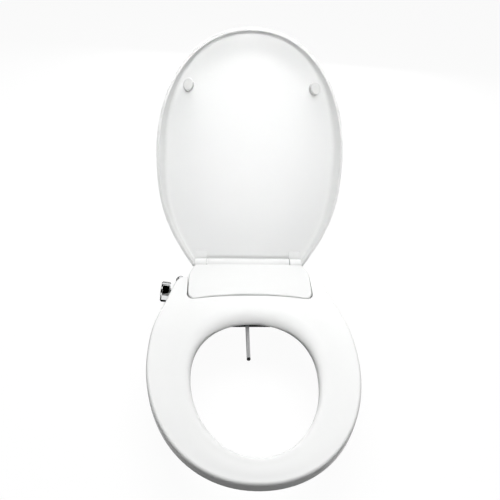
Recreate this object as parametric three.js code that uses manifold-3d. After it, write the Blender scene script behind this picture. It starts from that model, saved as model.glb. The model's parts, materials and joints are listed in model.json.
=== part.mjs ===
// A water-powered bidet seat: lid and seat ring on a slim hinge housing, a hand-set steel nozzle
// under the back of the ring and a quarter-turn tap at the side. Millimetres, +Z up, front at -Y.
// The origin is on the bowl's rim, midway between the two fixing bolts.
import * as THREE from 'three';
import { mergeVertices } from 'three/addons/utils/BufferGeometryUtils.js';
import Module from 'manifold-3d';

const wasm = await Module();
wasm.setup();
const degrees = THREE.MathUtils.degToRad;
const lerp = THREE.MathUtils.lerp;

// ---------------------------------------------------------------- driving dimensions
// Distances along Y below are measured from the lid's hinge line; the whole model then moves back by
// hingeBehindBolts. Heights are measured from the bowl's rim.
const hingeBehindBolts = 22;
const hingeHeight = 39;
const lidOpenAngle = degrees(115);
const boltSpacing = 155;
const chinaThickness = 30;

const gap = 0.3; // between pieces that touch
const runningGap = 0.6; // between pieces that turn in or past each other
const wall = 3.5; // moulded walls of the seat and lid
const coverWall = 2.8;

const seatHalfWidth = 181.5;
const seatFront = -455;
const seatWidestAt = -219;
const seatUnderside = 14.8;
const seatTop = 32.8;
const seatEdgeRadius = 8.5;
const seatCrown = 0.6;
const hornWidth = 24.2; // each arm beside the housing, at its end
const hornCornerAt = -39.5;
const hornEnd = -25;
const hornOuterWall = 14.5; // outside the pivot's bore
const hornRadius = 14.5;
const seatPivotAt = -42;
const seatPivotHeight = 24;

const holeHalfWidth = 106.5;
const holeFront = -413;
const holeWidestAt = -259;
const holeBack = -145;

const lidHalfWidth = 183.5;
const lidFront = -456.5;
const lidWidestAt = -218;
const lidCornerReach = 3.5; // past the knuckles
const lidCornerAt = 4.5;
const lidBack = 3;
const lidLip = -1; // closed, above the hinge line
const lidRim = 5.5; // width of the flat lip round the lid
const lidPanel = 15.8; // underside of the panel, closed, above the hinge line
const lidThickness = 4.4;
const lidDome = 2.2;

const housingHalfWidth = 121;
const housingFront = -81.5;
const housingFrontCorner = -93;
const housingBack = 15;
const housingTop = 33.7; // at its front corners
const housingSlope = 0.176;
const housingX = 1.2; // it stands a little to one side of the seat
const coverUnderside = 8;
const seatToHousing = 3.8;
const notchHalf = 13; // half the width of the seat's notch over the nozzle's feed pipe

const knuckleRadius = 13.4;
const knuckleInset = 12; // from the housing's side to a knuckle's outer face
const knuckleWidth = 23.4;
const knuckleGap = 0.9;
const seatPinRadius = 4;
const lidPinRadius = 3;
const bushWall = 2;

const seatDamperLength = 42;
const seatDamperRadius = 8.5;
const seatDamperInset = 8.5; // from the housing's side to the damper's outer end
const lidDamperLength = 46;
const shaftGrip = 11; // of a shaft inside its damper

const matThickness = 1.5;
const boltRadius = 4;
const boltSlot = 7; // travel of a bolt to either side
const bracketThickness = 4;
const bracketMargin = 6.5; // beside the slots
const bracketFront = -54;
const bracketBack = 8;
const trayFloor = 10;
const trayThickness = 2.5;

const nozzleX = -6.5;
const nozzleTilt = degrees(9);
const nozzleRadius = 3.5;
const nozzleReach = 85;
const shieldFront = -130;
const shieldHeel = -107; // where the underside turns up
const shieldBack = -80;
const shieldHalfWidth = 45;
const shieldDepth = 8.5; // below the bowl's rim
const nozzleHeight = 10.4; // of the nozzle's axis at the shield's front face
const feedRadius = 6.5;
const feedBore = 4.9;

const tapTilt = degrees(8);
const tapReach = 15; // from the housing's side to the tap's centre
const tapBodyRadius = 10;
const knobRadius = 20.5;
const knobDepth = 18;
const inletLength = 26;
const inletRadius = 10;
const inletBore = 7;
const hoseRadius = 4;

// ---------------------------------------------------------------- what follows from them
const knuckleOuter = housingHalfWidth - knuckleInset;
const knuckleInner = knuckleOuter - knuckleWidth;
const lidCornerHalfWidth = knuckleOuter + lidCornerReach;
const hornHalfWidth = housingHalfWidth + seatToHousing + hornWidth;
const seatPinReach = hornHalfWidth - hornOuterWall;
const seatDamperEnd = housingHalfWidth - seatDamperInset;
const seatDamperTail = seatDamperEnd - seatDamperLength;
const barrelHalf = knuckleInner - knuckleGap;
const barrelInside = barrelHalf - coverWall;
const barrelBore = knuckleRadius - coverWall;
const lidDamperRadius = barrelBore - gap;
const lidDamperEnd = barrelInside - gap;
const lidDamperTail = lidDamperEnd - lidDamperLength;
const boltX = boltSpacing / 2;
const bracketHalfWidth = boltX + boltSlot + boltRadius + bracketMargin;
const shieldTop = seatUnderside - 1;
const tapCentre = new THREE.Vector3(-housingHalfWidth - tapReach, -39.5, -5);
const topAt = (y) => housingTop + housingSlope * (y - housingFrontCorner);

// ---------------------------------------------------------------- finishes
const finish = (color, roughness, metalness) => ({ color, roughness, metalness });
const whiteGloss = finish(0xf4f5f4, 0.25, 0);
const whitePlain = finish(0xe9eae8, 0.5, 0);
const whiteRubber = finish(0xdedfdd, 0.7, 0);
const blackPlastic = finish(0x1a1b1d, 0.45, 0);
const blackRubber = finish(0x222222, 0.85, 0);
const greyNylon = finish(0x8c8f92, 0.55, 0);
const chrome = finish(0xd9dcdf, 0.08, 1);
const steel = finish(0xb4b6b8, 0.3, 1);
const brass = finish(0xb08d4f, 0.35, 1);
const clearHose = finish(0xcfd6d8, 0.4, 0);

// ---------------------------------------------------------------- solids
function solid(geometry) {
  const bare = new THREE.BufferGeometry();
  bare.setAttribute('position', geometry.getAttribute('position').clone());
  if (geometry.index) bare.setIndex(geometry.index.clone());
  const merged = mergeVertices(bare, 1e-4);
  const corners = merged.index.array;
  const kept = [];
  for (let i = 0; i < corners.length; i += 3) {
    const [a, b, c] = [corners[i], corners[i + 1], corners[i + 2]];
    if (a !== b && b !== c && c !== a) kept.push(a, b, c);
  }
  const vertProperties = Float32Array.from(merged.getAttribute('position').array);
  return new wasm.Manifold(new wasm.Mesh({ numProp: 3, vertProperties, triVerts: Uint32Array.from(kept) }));
}

function surface(manifold) {
  const mesh = manifold.getMesh();
  const geometry = new THREE.BufferGeometry();
  geometry.setAttribute('position', new THREE.BufferAttribute(mesh.vertProperties, 3));
  geometry.setIndex(new THREE.BufferAttribute(mesh.triVerts, 1));
  geometry.computeVertexNormals();
  return geometry;
}

const join = (first, ...rest) => rest.reduce((sum, next) => sum.add(next), first);
const cut = (first, ...rest) => rest.reduce((left, next) => left.subtract(next), first);

function block([x0, x1], [y0, y1], [z0, z1]) {
  const geometry = new THREE.BoxGeometry(x1 - x0, y1 - y0, z1 - z0);
  geometry.translate((x0 + x1) / 2, (y0 + y1) / 2, (z0 + z1) / 2);
  return solid(geometry);
}

// A body of revolution about +Y, turned to point along direction.
function turned(profile, origin, direction, segments = 16) {
  const points = profile.map(([radius, along]) => new THREE.Vector2(radius, along));
  const geometry = new THREE.LatheGeometry(points, segments);
  geometry.applyQuaternion(new THREE.Quaternion().setFromUnitVectors(up, direction));
  geometry.translate(origin.x, origin.y, origin.z);
  return solid(geometry);
}
const up = new THREE.Vector3(0, 1, 0);
const alongX = new THREE.Vector3(1, 0, 0);
const alongY = new THREE.Vector3(0, 1, 0);
const forward = new THREE.Vector3(0, -1, 0);
const alongZ = new THREE.Vector3(0, 0, 1);
const at = (x, y, z) => new THREE.Vector3(x, y, z);

const rod = (radius, from, to) => [[0, from], [radius, from], [radius, to], [0, to]];
const sleeve = (bore, radius, from, to) => [
  [bore, from], [radius, from], [radius, to], [bore, to], [bore, from],
];
const bar = (radius, x0, x1, y, z, segments) => turned(rod(radius, x0, x1), at(0, y, z), alongX, segments);
const post = (radius, x, y, z0, z1, segments) => turned(rod(radius, z0, z1), at(x, y, 0), alongZ, segments);

// A side profile in Y and Z, given width from x0 to x1.
function sideProfile(shape, x0, x1, curveSegments = 12) {
  const geometry = new THREE.ExtrudeGeometry(shape, { depth: x1 - x0, bevelEnabled: false, curveSegments });
  const turn = new THREE.Matrix4().makeBasis(at(0, 1, 0), at(0, 0, 1), at(1, 0, 0));
  geometry.applyMatrix4(turn);
  geometry.translate(x0, 0, 0);
  return solid(geometry);
}

// A plan outline that is the same on both sides, drawn from the front centre round the +X side to
// the back centre, and read as a distance from a centre at each angle from the front.
function outline(centre, half, divisions, x = 0) {
  const points = half.getPoints(divisions);
  const angles = points.map((p) => Math.atan2(p.x, centre - p.y));
  const radii = points.map((p) => Math.hypot(p.x, p.y - centre));
  angles[angles.length - 1] = Math.PI;
  const radius = (angle) => {
    const turn = Math.abs(Math.atan2(Math.sin(angle), Math.cos(angle)));
    let i = 1;
    while (i < angles.length - 1 && angles[i] < turn) i += 1;
    const share = (turn - angles[i - 1]) / (angles[i] - angles[i - 1]);
    return lerp(radii[i - 1], radii[i], THREE.MathUtils.clamp(share, 0, 1));
  };
  const inset = (angle, distance) => {
    const step = 0.01;
    const slope = (radius(angle + step) - radius(angle - step)) / (2 * step * radius(angle));
    return radius(angle) - distance * Math.hypot(1, slope);
  };
  const stations = [...angles, ...angles.slice(1, -1).reverse().map((angle) => -angle)];
  return { x, centre, radius, inset, stations };
}

// Angles from the front, the same on both sides: even steps, with finer ones round the back corners.
function stationsAround(step, fineFrom, fineTo, fineStep) {
  const side = [];
  for (let angle = 0; angle < 180; angle += angle >= fineFrom && angle < fineTo ? fineStep : step) {
    side.push(angle);
  }
  return [...side, 180, ...side.slice(1).reverse().map((angle) => -angle)].map(degrees);
}

// Skins a body from sections that stand round a centre. A section is a list of [radius, height]. It
// closes on itself, or starts and ends on the centre's axis.
function skin({ x, centre }, stations, sectionAt) {
  const sections = stations.map(sectionAt);
  const count = sections[0].length;
  const closed = sections[0][0][0] > 0;
  const spans = closed ? count : count - 1;
  const positions = [];
  const faces = [];
  sections.forEach((section, i) => {
    for (const [radius, height] of section) {
      const angle = stations[i];
      positions.push(x + radius * Math.sin(angle), centre - radius * Math.cos(angle), height);
    }
  });
  for (let i = 0; i < stations.length; i += 1) {
    const next = (i + 1) % stations.length;
    for (let j = 0; j < spans; j += 1) {
      const k = (j + 1) % count;
      const [a, b, c, d] = [i * count + j, next * count + j, next * count + k, i * count + k];
      faces.push(a, b, c, a, c, d);
    }
  }
  const geometry = new THREE.BufferGeometry();
  geometry.setAttribute('position', new THREE.Float32BufferAttribute(positions, 3));
  geometry.setIndex(faces);
  return solid(geometry);
}

const slab = (plan, inset, z0, z1) =>
  skin(plan, plan.stations, (angle) => {
    const radius = plan.inset(angle, inset);
    return [[0, z0], [radius, z0], [radius, z1], [0, z1]];
  });

const arc = (count, place) => Array.from({ length: count + 1 }, (_, i) => place((i / count) * (Math.PI / 2)));

// ---------------------------------------------------------------- groups and pieces
const group = new THREE.Group();
group.position.y = hingeBehindBolts;
const lidGroup = new THREE.Group();
lidGroup.position.z = hingeHeight;
lidGroup.rotation.x = -lidOpenAngle;
const nozzleGroup = new THREE.Group();
nozzleGroup.position.set(nozzleX, shieldFront, nozzleHeight);
nozzleGroup.rotation.x = Math.PI + nozzleTilt;
const tapDirection = at(-Math.cos(tapTilt), 0, Math.sin(tapTilt));
group.add(lidGroup, nozzleGroup);

function piece(parent, name, body, look) {
  const mesh = new THREE.Mesh(surface(body), new THREE.MeshStandardMaterial(look));
  mesh.name = name;
  parent.add(mesh);
}

// ---------------------------------------------------------------- plan outlines
function plan(centre, divisions, start, draw, x) {
  const half = new THREE.Path();
  half.moveTo(0, start);
  draw(half);
  return outline(centre, half, divisions, x);
}

const seatPlan = plan(-235, 40, seatFront, (half) => {
  half.bezierCurveTo(117, seatFront, seatHalfWidth, seatWidestAt - 124, seatHalfWidth, seatWidestAt);
  half.bezierCurveTo(seatHalfWidth, seatWidestAt + 77.5, hornHalfWidth + 22, hornCornerAt - 92.5,
    hornHalfWidth, hornCornerAt);
  half.quadraticCurveTo(hornHalfWidth - 4, hornEnd - 3, hornHalfWidth - 18, hornEnd);
  half.lineTo(0, hornEnd);
});
const holePlan = plan(-270, 40, holeFront, (half) => {
  half.bezierCurveTo(56.5, holeFront, holeHalfWidth, holeWidestAt - 91.5, holeHalfWidth, holeWidestAt);
  half.bezierCurveTo(holeHalfWidth, holeWidestAt + 72, 60, holeBack, 0, holeBack);
});
const lidPlan = plan(-225, 40, lidFront, (half) => {
  half.bezierCurveTo(113.5, lidFront, lidHalfWidth, lidWidestAt - 132.5, lidHalfWidth, lidWidestAt);
  half.bezierCurveTo(lidHalfWidth, lidWidestAt + 101, lidCornerHalfWidth + 50.6, lidCornerAt - 74.6,
    lidCornerHalfWidth, lidCornerAt);
  half.lineTo(0, lidCornerAt + 8);
});
const housingPlan = (spread) => plan(-45, 5, housingFront - spread, (half) => {
  const side = housingHalfWidth + spread;
  const front = housingFrontCorner - spread;
  half.bezierCurveTo(50, housingFront - spread, side - 45, front + 6, side - 14, front);
  half.bezierCurveTo(side - 8, front - 0.2, side - 0.5, front + 4, side - 0.2, front + 17);
  half.lineTo(side, -40);
  half.bezierCurveTo(side, -31, side - 3, -25, side - 10, -13.5);
  half.lineTo(side - 20, 4);
  half.lineTo(side - 28, housingBack + spread);
  half.lineTo(0, housingBack + spread);
}, housingX);
const housing = housingPlan(0);

const seatStations = stationsAround(9, 135, 153, 3.6);
const lidStations = stationsAround(9, 144, 156, 3);

// ---------------------------------------------------------------- seat ring
// The hole's edge rolls over in a tight curve at the front and in a wide scoop at the back.
const scoop = (angle) => {
  const back = (1 - Math.cos(angle)) / 2;
  return { width: lerp(10, 33, back), drop: lerp(7, 17, back) };
};

// The hole is drawn about its own centre, so its distance is read along the seat's rays.
const holeFromSeat = outline(seatPlan.centre, {
  getPoints: () => holePlan.stations.filter((angle) => angle >= 0).map((angle) => {
    const radius = holePlan.radius(angle);
    return new THREE.Vector2(radius * Math.sin(angle), holePlan.centre - radius * Math.cos(angle));
  }),
});

function seatSection(angle) {
  const { width, drop } = scoop(angle);
  const edge = holeFromSeat.radius(angle);
  const fromHole = (distance) => holeFromSeat.inset(angle, -distance);
  const fromOuter = (distance) => seatPlan.inset(angle, distance);
  const rim = arc(3, (turn) => [
    fromOuter(seatEdgeRadius * (1 - Math.cos(turn))),
    seatTop - seatEdgeRadius * (1 - Math.sin(turn)),
  ]);
  const roll = arc(4, (turn) => [
    fromHole(width * (1 - Math.sin(turn))),
    seatTop - drop * (1 - Math.cos(turn)),
  ]);
  const middle = (fromOuter(seatEdgeRadius) + fromHole(width)) / 2;
  return [
    [fromOuter(0.8), seatUnderside],
    [fromOuter(0), seatUnderside + 1.5],
    ...rim,
    [middle, seatTop + seatCrown],
    ...roll,
    [edge, seatUnderside + 1],
    [fromHole(0.8), seatUnderside],
  ];
}

function seatHollowSection(angle) {
  const { width, drop } = scoop(angle);
  const outer = (distance) => seatPlan.inset(angle, wall + distance);
  const inner = (distance) => holeFromSeat.inset(angle, -wall - distance);
  return [
    [outer(0), 0],
    [outer(0), seatTop - seatEdgeRadius],
    [outer(5), seatTop - wall],
    [inner(width * 0.7), seatTop - wall],
    [inner(0), Math.max(seatTop - drop - wall * 0.5, seatUnderside + 2)],
    [inner(0), 0],
  ];
}

const bandMiddle = (degreesFromFront) => {
  const angle = degrees(degreesFromFront);
  const radius = (seatPlan.radius(angle) + holeFromSeat.radius(angle)) / 2;
  return at(radius * Math.sin(angle), seatPlan.centre - radius * Math.cos(angle), 0);
};
const bumperAngles = [-108, -38, 38, 108];
const bumperSpots = bumperAngles.map(bandMiddle);
const bumperPeg = 2.7;

function makeSeat() {
  const body = skin(seatPlan, seatStations, seatSection);
  const shaft = at(0, seatPivotAt, seatPivotHeight);
  const trim = join(
    block([-200, 200], [-500, seatPivotAt], [0, 60]),
    turned(rod(hornRadius, -200, 200), shaft, alongX, 36),
  );
  const notch = slab(housingPlan(seatToHousing), 0, 0, 60);
  let hollow = skin(seatPlan, seatStations, seatHollowSection);
  const ribs = [20, 56, 76, 92, 124].flatMap((angle) => [angle, -angle]).map((angle) => {
    const web = new THREE.BoxGeometry(2.4, 140, 40);
    web.translate(0, -140, seatUnderside + 4 + 20);
    web.rotateZ(degrees(angle));
    web.translate(0, seatPlan.centre, 0);
    return solid(web);
  });
  const bosses = bumperSpots.map(({ x, y }) => post(7, x, y, seatUnderside, 60, 10));
  hollow = cut(
    hollow,
    slab(housingPlan(seatToHousing + wall), 0, 0, 60),
    block([-200, 200], [seatPivotAt - 18, 20], [0, 60]),
    ...ribs,
    ...bosses,
  );
  const pegHoles = bumperSpots.map(({ x, y }) => post(bumperPeg + gap, x, y, 0, seatUnderside + 8, 10));
  return cut(
    body.intersect(trim),
    notch,
    hollow,
    ...pegHoles,
    block([nozzleX - notchHalf, nozzleX + notchHalf], [housingFront - 20, housingFront + 2],
      [0, seatTop - wall - gap]),
    bar(seatPinRadius + gap, -seatPinReach, -housingHalfWidth, seatPivotAt, seatPivotHeight),
    bar(seatPinRadius + 2 * gap + bushWall, housingHalfWidth, seatPinReach, seatPivotAt, seatPivotHeight),
  );
}

piece(group, 'seat_ring', makeSeat(), whiteGloss);

bumperSpots.forEach(({ x, y }, i) => {
  const height = seatUnderside - gap;
  const profile = [
    [0, 0], [7, 0], [8, 1], [8, height - 2], [6.5, height], [bumperPeg, height],
    [bumperPeg, height + 6], [0, height + 6],
  ];
  piece(group, `seat_bumper_${i + 1}`, turned(profile, at(x, y, 0), alongZ, 10), whiteRubber);
});

// ---------------------------------------------------------------- lid
function lidSection(angle) {
  const edge = (distance) => lidPlan.inset(angle, distance);
  const radius = lidPlan.radius(angle);
  const top = lidPanel + lidThickness;
  return [
    [0, lidLip],
    [edge(0.8), lidLip],
    [edge(0), lidLip + 1],
    [edge(0.4), top - 11],
    [edge(1.8), top - 6.5],
    [edge(4.8), top - 2.8],
    [edge(10), top - 0.8],
    [edge(20), top],
    [radius * 0.5, top + lidDome * 0.75],
    [0, top + lidDome],
  ];
}

// Inside, the wall meets the panel in a tight fillet at the front and in a straight slope at the sides.
function lidHollowSection(angle) {
  const side = Math.sin(angle) ** 2;
  const sweep = lerp(7, 15, side);
  const power = 2 / lerp(2, 1.25, side);
  const edge = (distance) => lidPlan.inset(angle, lidRim + distance);
  const radius = lidPlan.radius(angle);
  const rise = lerp(7, lidPanel - lidLip - 3, side);
  const fillet = arc(4, (turn) => {
    const [across, climb] = [Math.max(Math.cos(turn), 0), Math.sin(turn)];
    return [edge(0.4 + sweep * (1 - across ** power)), lidPanel - rise * (1 - climb ** power)];
  });
  return [
    [0, lidLip - 1],
    [edge(0), lidLip - 1],
    ...fillet,
    [radius * 0.5, lidPanel + lidDome * 0.65],
    [0, lidPanel + lidDome * 0.85],
  ];
}

const lidBumperX = 121.3;
const lidBumperY = -352;
const lidBumperTurn = degrees(20);
const lidBumperHalf = [9, 11.75];
const lidBumperPeg = 3;
const lidBossHeight = 12;
const knuckleEnd = 5; // closed end of a knuckle's bore

// An upright oval on the lid, its long side along the rim.
function lidOval(side, z0, z1, bevel) {
  const [across, along] = lidBumperHalf;
  const shape = new THREE.Shape();
  shape.absellipse(0, 0, across - bevel, along - bevel, 0, 2 * Math.PI);
  const geometry = new THREE.ExtrudeGeometry(shape, {
    depth: z1 - z0 - 2 * bevel,
    bevelEnabled: bevel > 0,
    bevelThickness: bevel,
    bevelSize: bevel,
    bevelSegments: 2,
    curveSegments: 6,
  });
  geometry.rotateZ(-side * lidBumperTurn);
  geometry.translate(side * lidBumperX, lidBumperY, z0 + bevel);
  return solid(geometry);
}

function makeLid() {
  const shell = cut(
    skin(lidPlan, lidStations, lidSection),
    cut(
      skin(lidPlan, lidStations, lidHollowSection),
      ...[-1, 1].map((side) => lidOval(side, lidBossHeight, 40, 0)),
    ),
    block([-knuckleInner, knuckleInner], [-8, 40], [-20, 60]),
    block([-knuckleOuter, knuckleOuter], [-9, 40], [-20, lidPanel - 1]),
    block([-200, 200], [lidBack, 40], [-20, 60]),
  );
  // The web from a knuckle to the panel stays clear of the cover when the lid is shut.
  const foot = topAt(-knuckleRadius) - hingeHeight + 2 * runningGap;
  const fairing = new THREE.Shape();
  fairing.moveTo(0, 0);
  fairing.lineTo(4.4 - knuckleRadius, foot);
  fairing.lineTo(-knuckleRadius - 1.1, foot);
  fairing.lineTo(-26, lidPanel - 2);
  fairing.lineTo(-26, lidPanel + 2);
  fairing.lineTo(lidBack - 1, lidPanel + 2);
  fairing.lineTo(lidBack - 1, 0);
  const knuckles = [[-knuckleOuter, -knuckleInner], [knuckleInner, knuckleOuter]].map(([x0, x1]) =>
    join(bar(knuckleRadius, x0, x1, 0, 0, 28), sideProfile(fairing, x0, x1)),
  );
  return cut(
    join(shell, ...knuckles),
    bar(lidPinRadius + 2 * gap + bushWall, knuckleEnd - knuckleOuter, 1 - knuckleInner, 0, 0),
    bar(lidPinRadius + gap, knuckleInner - 1, knuckleOuter - knuckleEnd, 0, 0),
    ...[-1, 1].map((side) =>
      post(lidBumperPeg + gap, side * lidBumperX, lidBumperY, 0, lidBossHeight + 4, 10)),
  );
}

piece(lidGroup, 'lid_shell', makeLid(), whiteGloss);

const lidBumperFoot = seatTop + seatCrown + 0.5 - hingeHeight;
for (const [name, side] of [['lid_bumper_left', -1], ['lid_bumper_right', 1]]) {
  const foot = lidOval(side, lidBumperFoot, lidBossHeight - gap, 1.2);
  const peg = post(lidBumperPeg, side * lidBumperX, lidBumperY, lidBossHeight - 2, lidBossHeight + 3, 10);
  piece(lidGroup, name, join(foot, peg), whiteRubber);
}

// ---------------------------------------------------------------- hinge cover
function coverSkin(inset, drop, roundover, z0) {
  const place = (angle, distance, lower) => {
    const radius = housing.inset(angle, inset + distance);
    return [radius, topAt(housing.centre - radius * Math.cos(angle)) - drop - lower];
  };
  return skin(housing, housing.stations, (angle) => [
    [0, z0],
    [housing.inset(angle, inset), z0],
    place(angle, 0, roundover),
    place(angle, roundover * 0.3, roundover * 0.3),
    place(angle, roundover, 0),
    [0, topAt(housing.centre) - drop],
  ]);
}

// The housing's back edge rolls over the round barrel on the hinge line.
function barrelProfile(inset) {
  const radius = knuckleRadius - inset;
  const start = degrees(20);
  const shape = new THREE.Shape();
  shape.moveTo(-150, -20);
  shape.lineTo(housingBack + 10, -20);
  shape.lineTo(housingBack + 10, 27);
  shape.lineTo(housingBack - inset, 27);
  shape.lineTo(radius * Math.cos(start), hingeHeight + radius * Math.sin(start));
  shape.absarc(0, hingeHeight, radius, start, degrees(95), false);
  shape.lineTo(-150, hingeHeight + radius + 10);
  return shape;
}

const screwSpots = [[-60, -72], [60, -72], [-18, 3.5], [18, 3.5]];
const screwTip = 24;
const screwRadius = 1.7;
const screwHead = 3.6;
const feedLine = (s) =>
  at(nozzleX, shieldFront - s * Math.cos(nozzleTilt), nozzleHeight - s * Math.sin(nozzleTilt));
const nozzleDirection = at(0, -Math.cos(nozzleTilt), -Math.sin(nozzleTilt));
const feedBack = -96;
const feedTunnel = (clearance, from, to) =>
  turned(rod(feedRadius + clearance, from, to), feedLine(0), nozzleDirection, 24);

const buttonWindow = () => block([-14, 14], [5, 30], [trayFloor + trayThickness, 24]);

function makeCover() {
  const outer = join(
    coverSkin(0, 0, 4, coverUnderside).intersect(sideProfile(barrelProfile(0), -200, 200)),
    bar(knuckleRadius, -barrelHalf, barrelHalf, 0, hingeHeight, 28),
  );
  const inner = join(
    coverSkin(coverWall, coverWall, 2, 0).intersect(sideProfile(barrelProfile(coverWall), -200, 200)),
    bar(barrelBore, -barrelInside, barrelInside, 0, hingeHeight, 20),
  );
  const troughs = [-1, 1].flatMap((side) => {
    const [x0, x1] = side < 0 ? [-200, -barrelHalf] : [barrelHalf, 200];
    const radius = knuckleRadius + runningGap;
    const [i0, i1] = side < 0 ? [-200, -barrelInside] : [barrelInside, 200];
    return [
      {
        outer: bar(radius, x0, x1, 0, hingeHeight, 28),
        inner: bar(radius + coverWall, i0, i1, 0, hingeHeight, 20),
      },
      {
        outer: block([x0, x1], [0, 60], [hingeHeight - radius, 90]),
        inner: block([i0, i1], [0, 60], [hingeHeight - radius - coverWall, 90]),
      },
    ];
  });
  const posts = screwSpots.map(([x, y]) => {
    const reach = y < 0 ? topAt(y) : hingeHeight + knuckleRadius;
    return post(4.5, x, y, trayFloor + trayThickness + gap, reach - 2, 12);
  });
  const hollow = cut(inner, ...troughs.map((trough) => trough.inner), ...posts);
  return cut(
    outer,
    hollow,
    ...troughs.map((trough) => trough.outer),
    ...screwSpots.map(([x, y]) => post(screwRadius + gap, x, y, 0, screwTip, 10)),
    bar(seatPinRadius + runningGap, -200, -100, seatPivotAt, seatPivotHeight),
    bar(seatPinRadius + runningGap, 100, 200, seatPivotAt, seatPivotHeight),
    bar(lidPinRadius + gap, -200, 10 - barrelInside, 0, hingeHeight),
    bar(lidPinRadius + gap, barrelInside - 10, 200, 0, hingeHeight),
    block([nozzleX - 8, nozzleX + 8], [-110, -70], [0, 25]),
    buttonWindow(),
  );
}

piece(group, 'hinge_cover', makeCover(), whiteGloss);

// ---------------------------------------------------------------- base tray
const skirt = 6;
const upstand = 20;
const pivotBlock = { y0: seatPivotAt - 8, y1: seatPivotAt + 8, top: seatPivotHeight + 8.7 };

const tapAt = (along) => tapCentre.clone().addScaledVector(tapDirection, along);
const outlet = tapAt(-20.2);
const outletLength = 10;
const hoseRoute = new THREE.CatmullRomCurve3([
  at(outlet.x, outlet.y - outletLength - gap, outlet.z), at(outlet.x, outlet.y - outletLength - 5, outlet.z),
  at(outlet.x, outlet.y - outletLength - 10, outlet.z), at(-114.5, -64.5, -5.5), at(-111.5, -68, 0.5),
  at(-106.5, -69.5, 6), at(-100.5, -69.5, 11.5), at(-93.5, -67.5, 16), at(-85, -64.5, 18),
  at(-74, -60.5, 18.5), at(-60, -54, 19), at(-46, -44, 20), at(-34, -33, 21.5), at(-24, -23, 23.5),
  at(-16, -15.5, 26),
  at(-10, -12.5, 27.9), feedLine(feedBack - 17), feedLine(feedBack - 11), feedLine(feedBack - gap),
]);

function hose(radius, sides, steps) {
  const section = new THREE.Shape();
  section.absarc(0, 0, radius, 0, 2 * Math.PI, false);
  return solid(new THREE.ExtrudeGeometry(section, { steps, extrudePath: hoseRoute, curveSegments: sides }));
}

const carrierFrom = -11;
const carrierTo = -7;
const pinBlockStart = housingHalfWidth - 16;
const pinBlockEnd = barrelInside - 1.8;
const pinBlockFrom = pinBlockEnd - 12;

function makeTray() {
  const inside = slab(housing, skirt, 0, 60);
  const shell = join(slab(housing, 0, 1, coverUnderside - gap), slab(housing, coverWall + gap, 1, upstand));
  const under = inside.intersect(block([-200, 200], [-200, 200], [-1, trayFloor]));
  const above = inside.intersect(block([-200, 200], [-200, 200], [trayFloor + trayThickness, 59]));
  const rails = [-1, 1].flatMap((side) => {
    const inner = bracketHalfWidth + runningGap;
    const xs = (a, b) => (side < 0 ? [-b, -a] : [a, b]);
    return [
      block(xs(inner, inner + 3), [bracketFront, -14], [matThickness * 0.4, trayFloor + 1]),
      block(xs(inner - 4, inner + 3), [bracketFront, -14], [matThickness * 0.4, matThickness + gap + 1.2]),
    ];
  });
  const floorTop = trayFloor + trayThickness - 0.5;
  const blockEnd = housingHalfWidth - coverWall - 1;
  const blockSpans = [[housingX - blockEnd, -seatDamperEnd - 1.3], [pinBlockStart, housingX + blockEnd]];
  const blocks = blockSpans.map((xs) =>
    block(xs, [pivotBlock.y0, pivotBlock.y1], [floorTop, pivotBlock.top]));
  const cradle = block([-seatDamperTail - 5.5, -seatDamperTail - 1.5], [pivotBlock.y0, pivotBlock.y1],
    [floorTop, seatPivotHeight]);
  const reach = barrelBore - gap;
  const saddles = [lidDamperTail + 3.5, lidDamperEnd - 8.5].map((x) =>
    block([x, x + 4], [-reach, reach], [floorTop, hingeHeight - 1]));
  const pinBlock = join(
    block([-pinBlockEnd, -pinBlockFrom], [-reach, reach], [floorTop, hingeHeight]),
    bar(reach, -pinBlockEnd, -pinBlockFrom, 0, hingeHeight),
  );
  const feedRib = block([nozzleX - 10, nozzleX + 10], [-64, -58], [floorTop, 22]);
  const bridge = cut(
    block([-11, 11], [-3, 1], [floorTop, 24]),
    block([-6.6, 6.6], [-4, 2], [trayFloor + trayThickness, 16.2]),
  );
  const carrier = turned(rod(tapBodyRadius + 4, carrierFrom, carrierTo), tapCentre, tapDirection, 24);
  const arm = block([-housingHalfWidth - 5.5, 2 - housingHalfWidth], [tapCentre.y - 12.5, tapCentre.y + 12.5],
    [1, coverUnderside - gap]);
  return cut(
    join(cut(shell, under, above), ...rails, ...blocks, cradle, ...saddles, pinBlock, feedRib, bridge,
      carrier, arm),
    turned(rod(tapBodyRadius + gap, -14, -6), tapCentre, tapDirection, 24),
    turned(rod(tapBodyRadius + 3, -40, carrierFrom), tapCentre, tapDirection, 24),
    bar(seatPinRadius + gap, pinBlockStart - 10, housingHalfWidth + 10, seatPivotAt, seatPivotHeight),
    bar(seatPinRadius + runningGap, -housingHalfWidth - 10, 10 - seatDamperEnd, seatPivotAt, seatPivotHeight),
    bar(seatDamperRadius + gap, -seatDamperEnd - 2 * gap, 10 - seatDamperTail, seatPivotAt, seatPivotHeight,
      24),
    bar(lidDamperRadius + gap, lidDamperTail - 5, barrelInside + 3, 0, hingeHeight, 24),
    bar(lidPinRadius + gap, -pinBlockEnd - 10, 10 - pinBlockFrom, 0, hingeHeight),
    feedTunnel(gap, feedBack - 2, 0),
    block([nozzleX - feedRadius - gap, nozzleX + feedRadius + gap], [-100, -84], [feedLine(-45).z, 30]),
    ...screwSpots.map(([x, y]) => post(screwRadius + gap, x, y, 0, 20, 10)),
    ...screwSpots.map(([x, y]) => post(screwHead + runningGap, x, y, 0, trayFloor - 0.01, 12)),
    hose(hoseRadius + runningGap, 4, 22),
    block([-6.5, 6.5], [-13, 1], [0, 13]),
    buttonWindow(),
  );
}

piece(group, 'base_tray', makeTray(), whitePlain);

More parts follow.
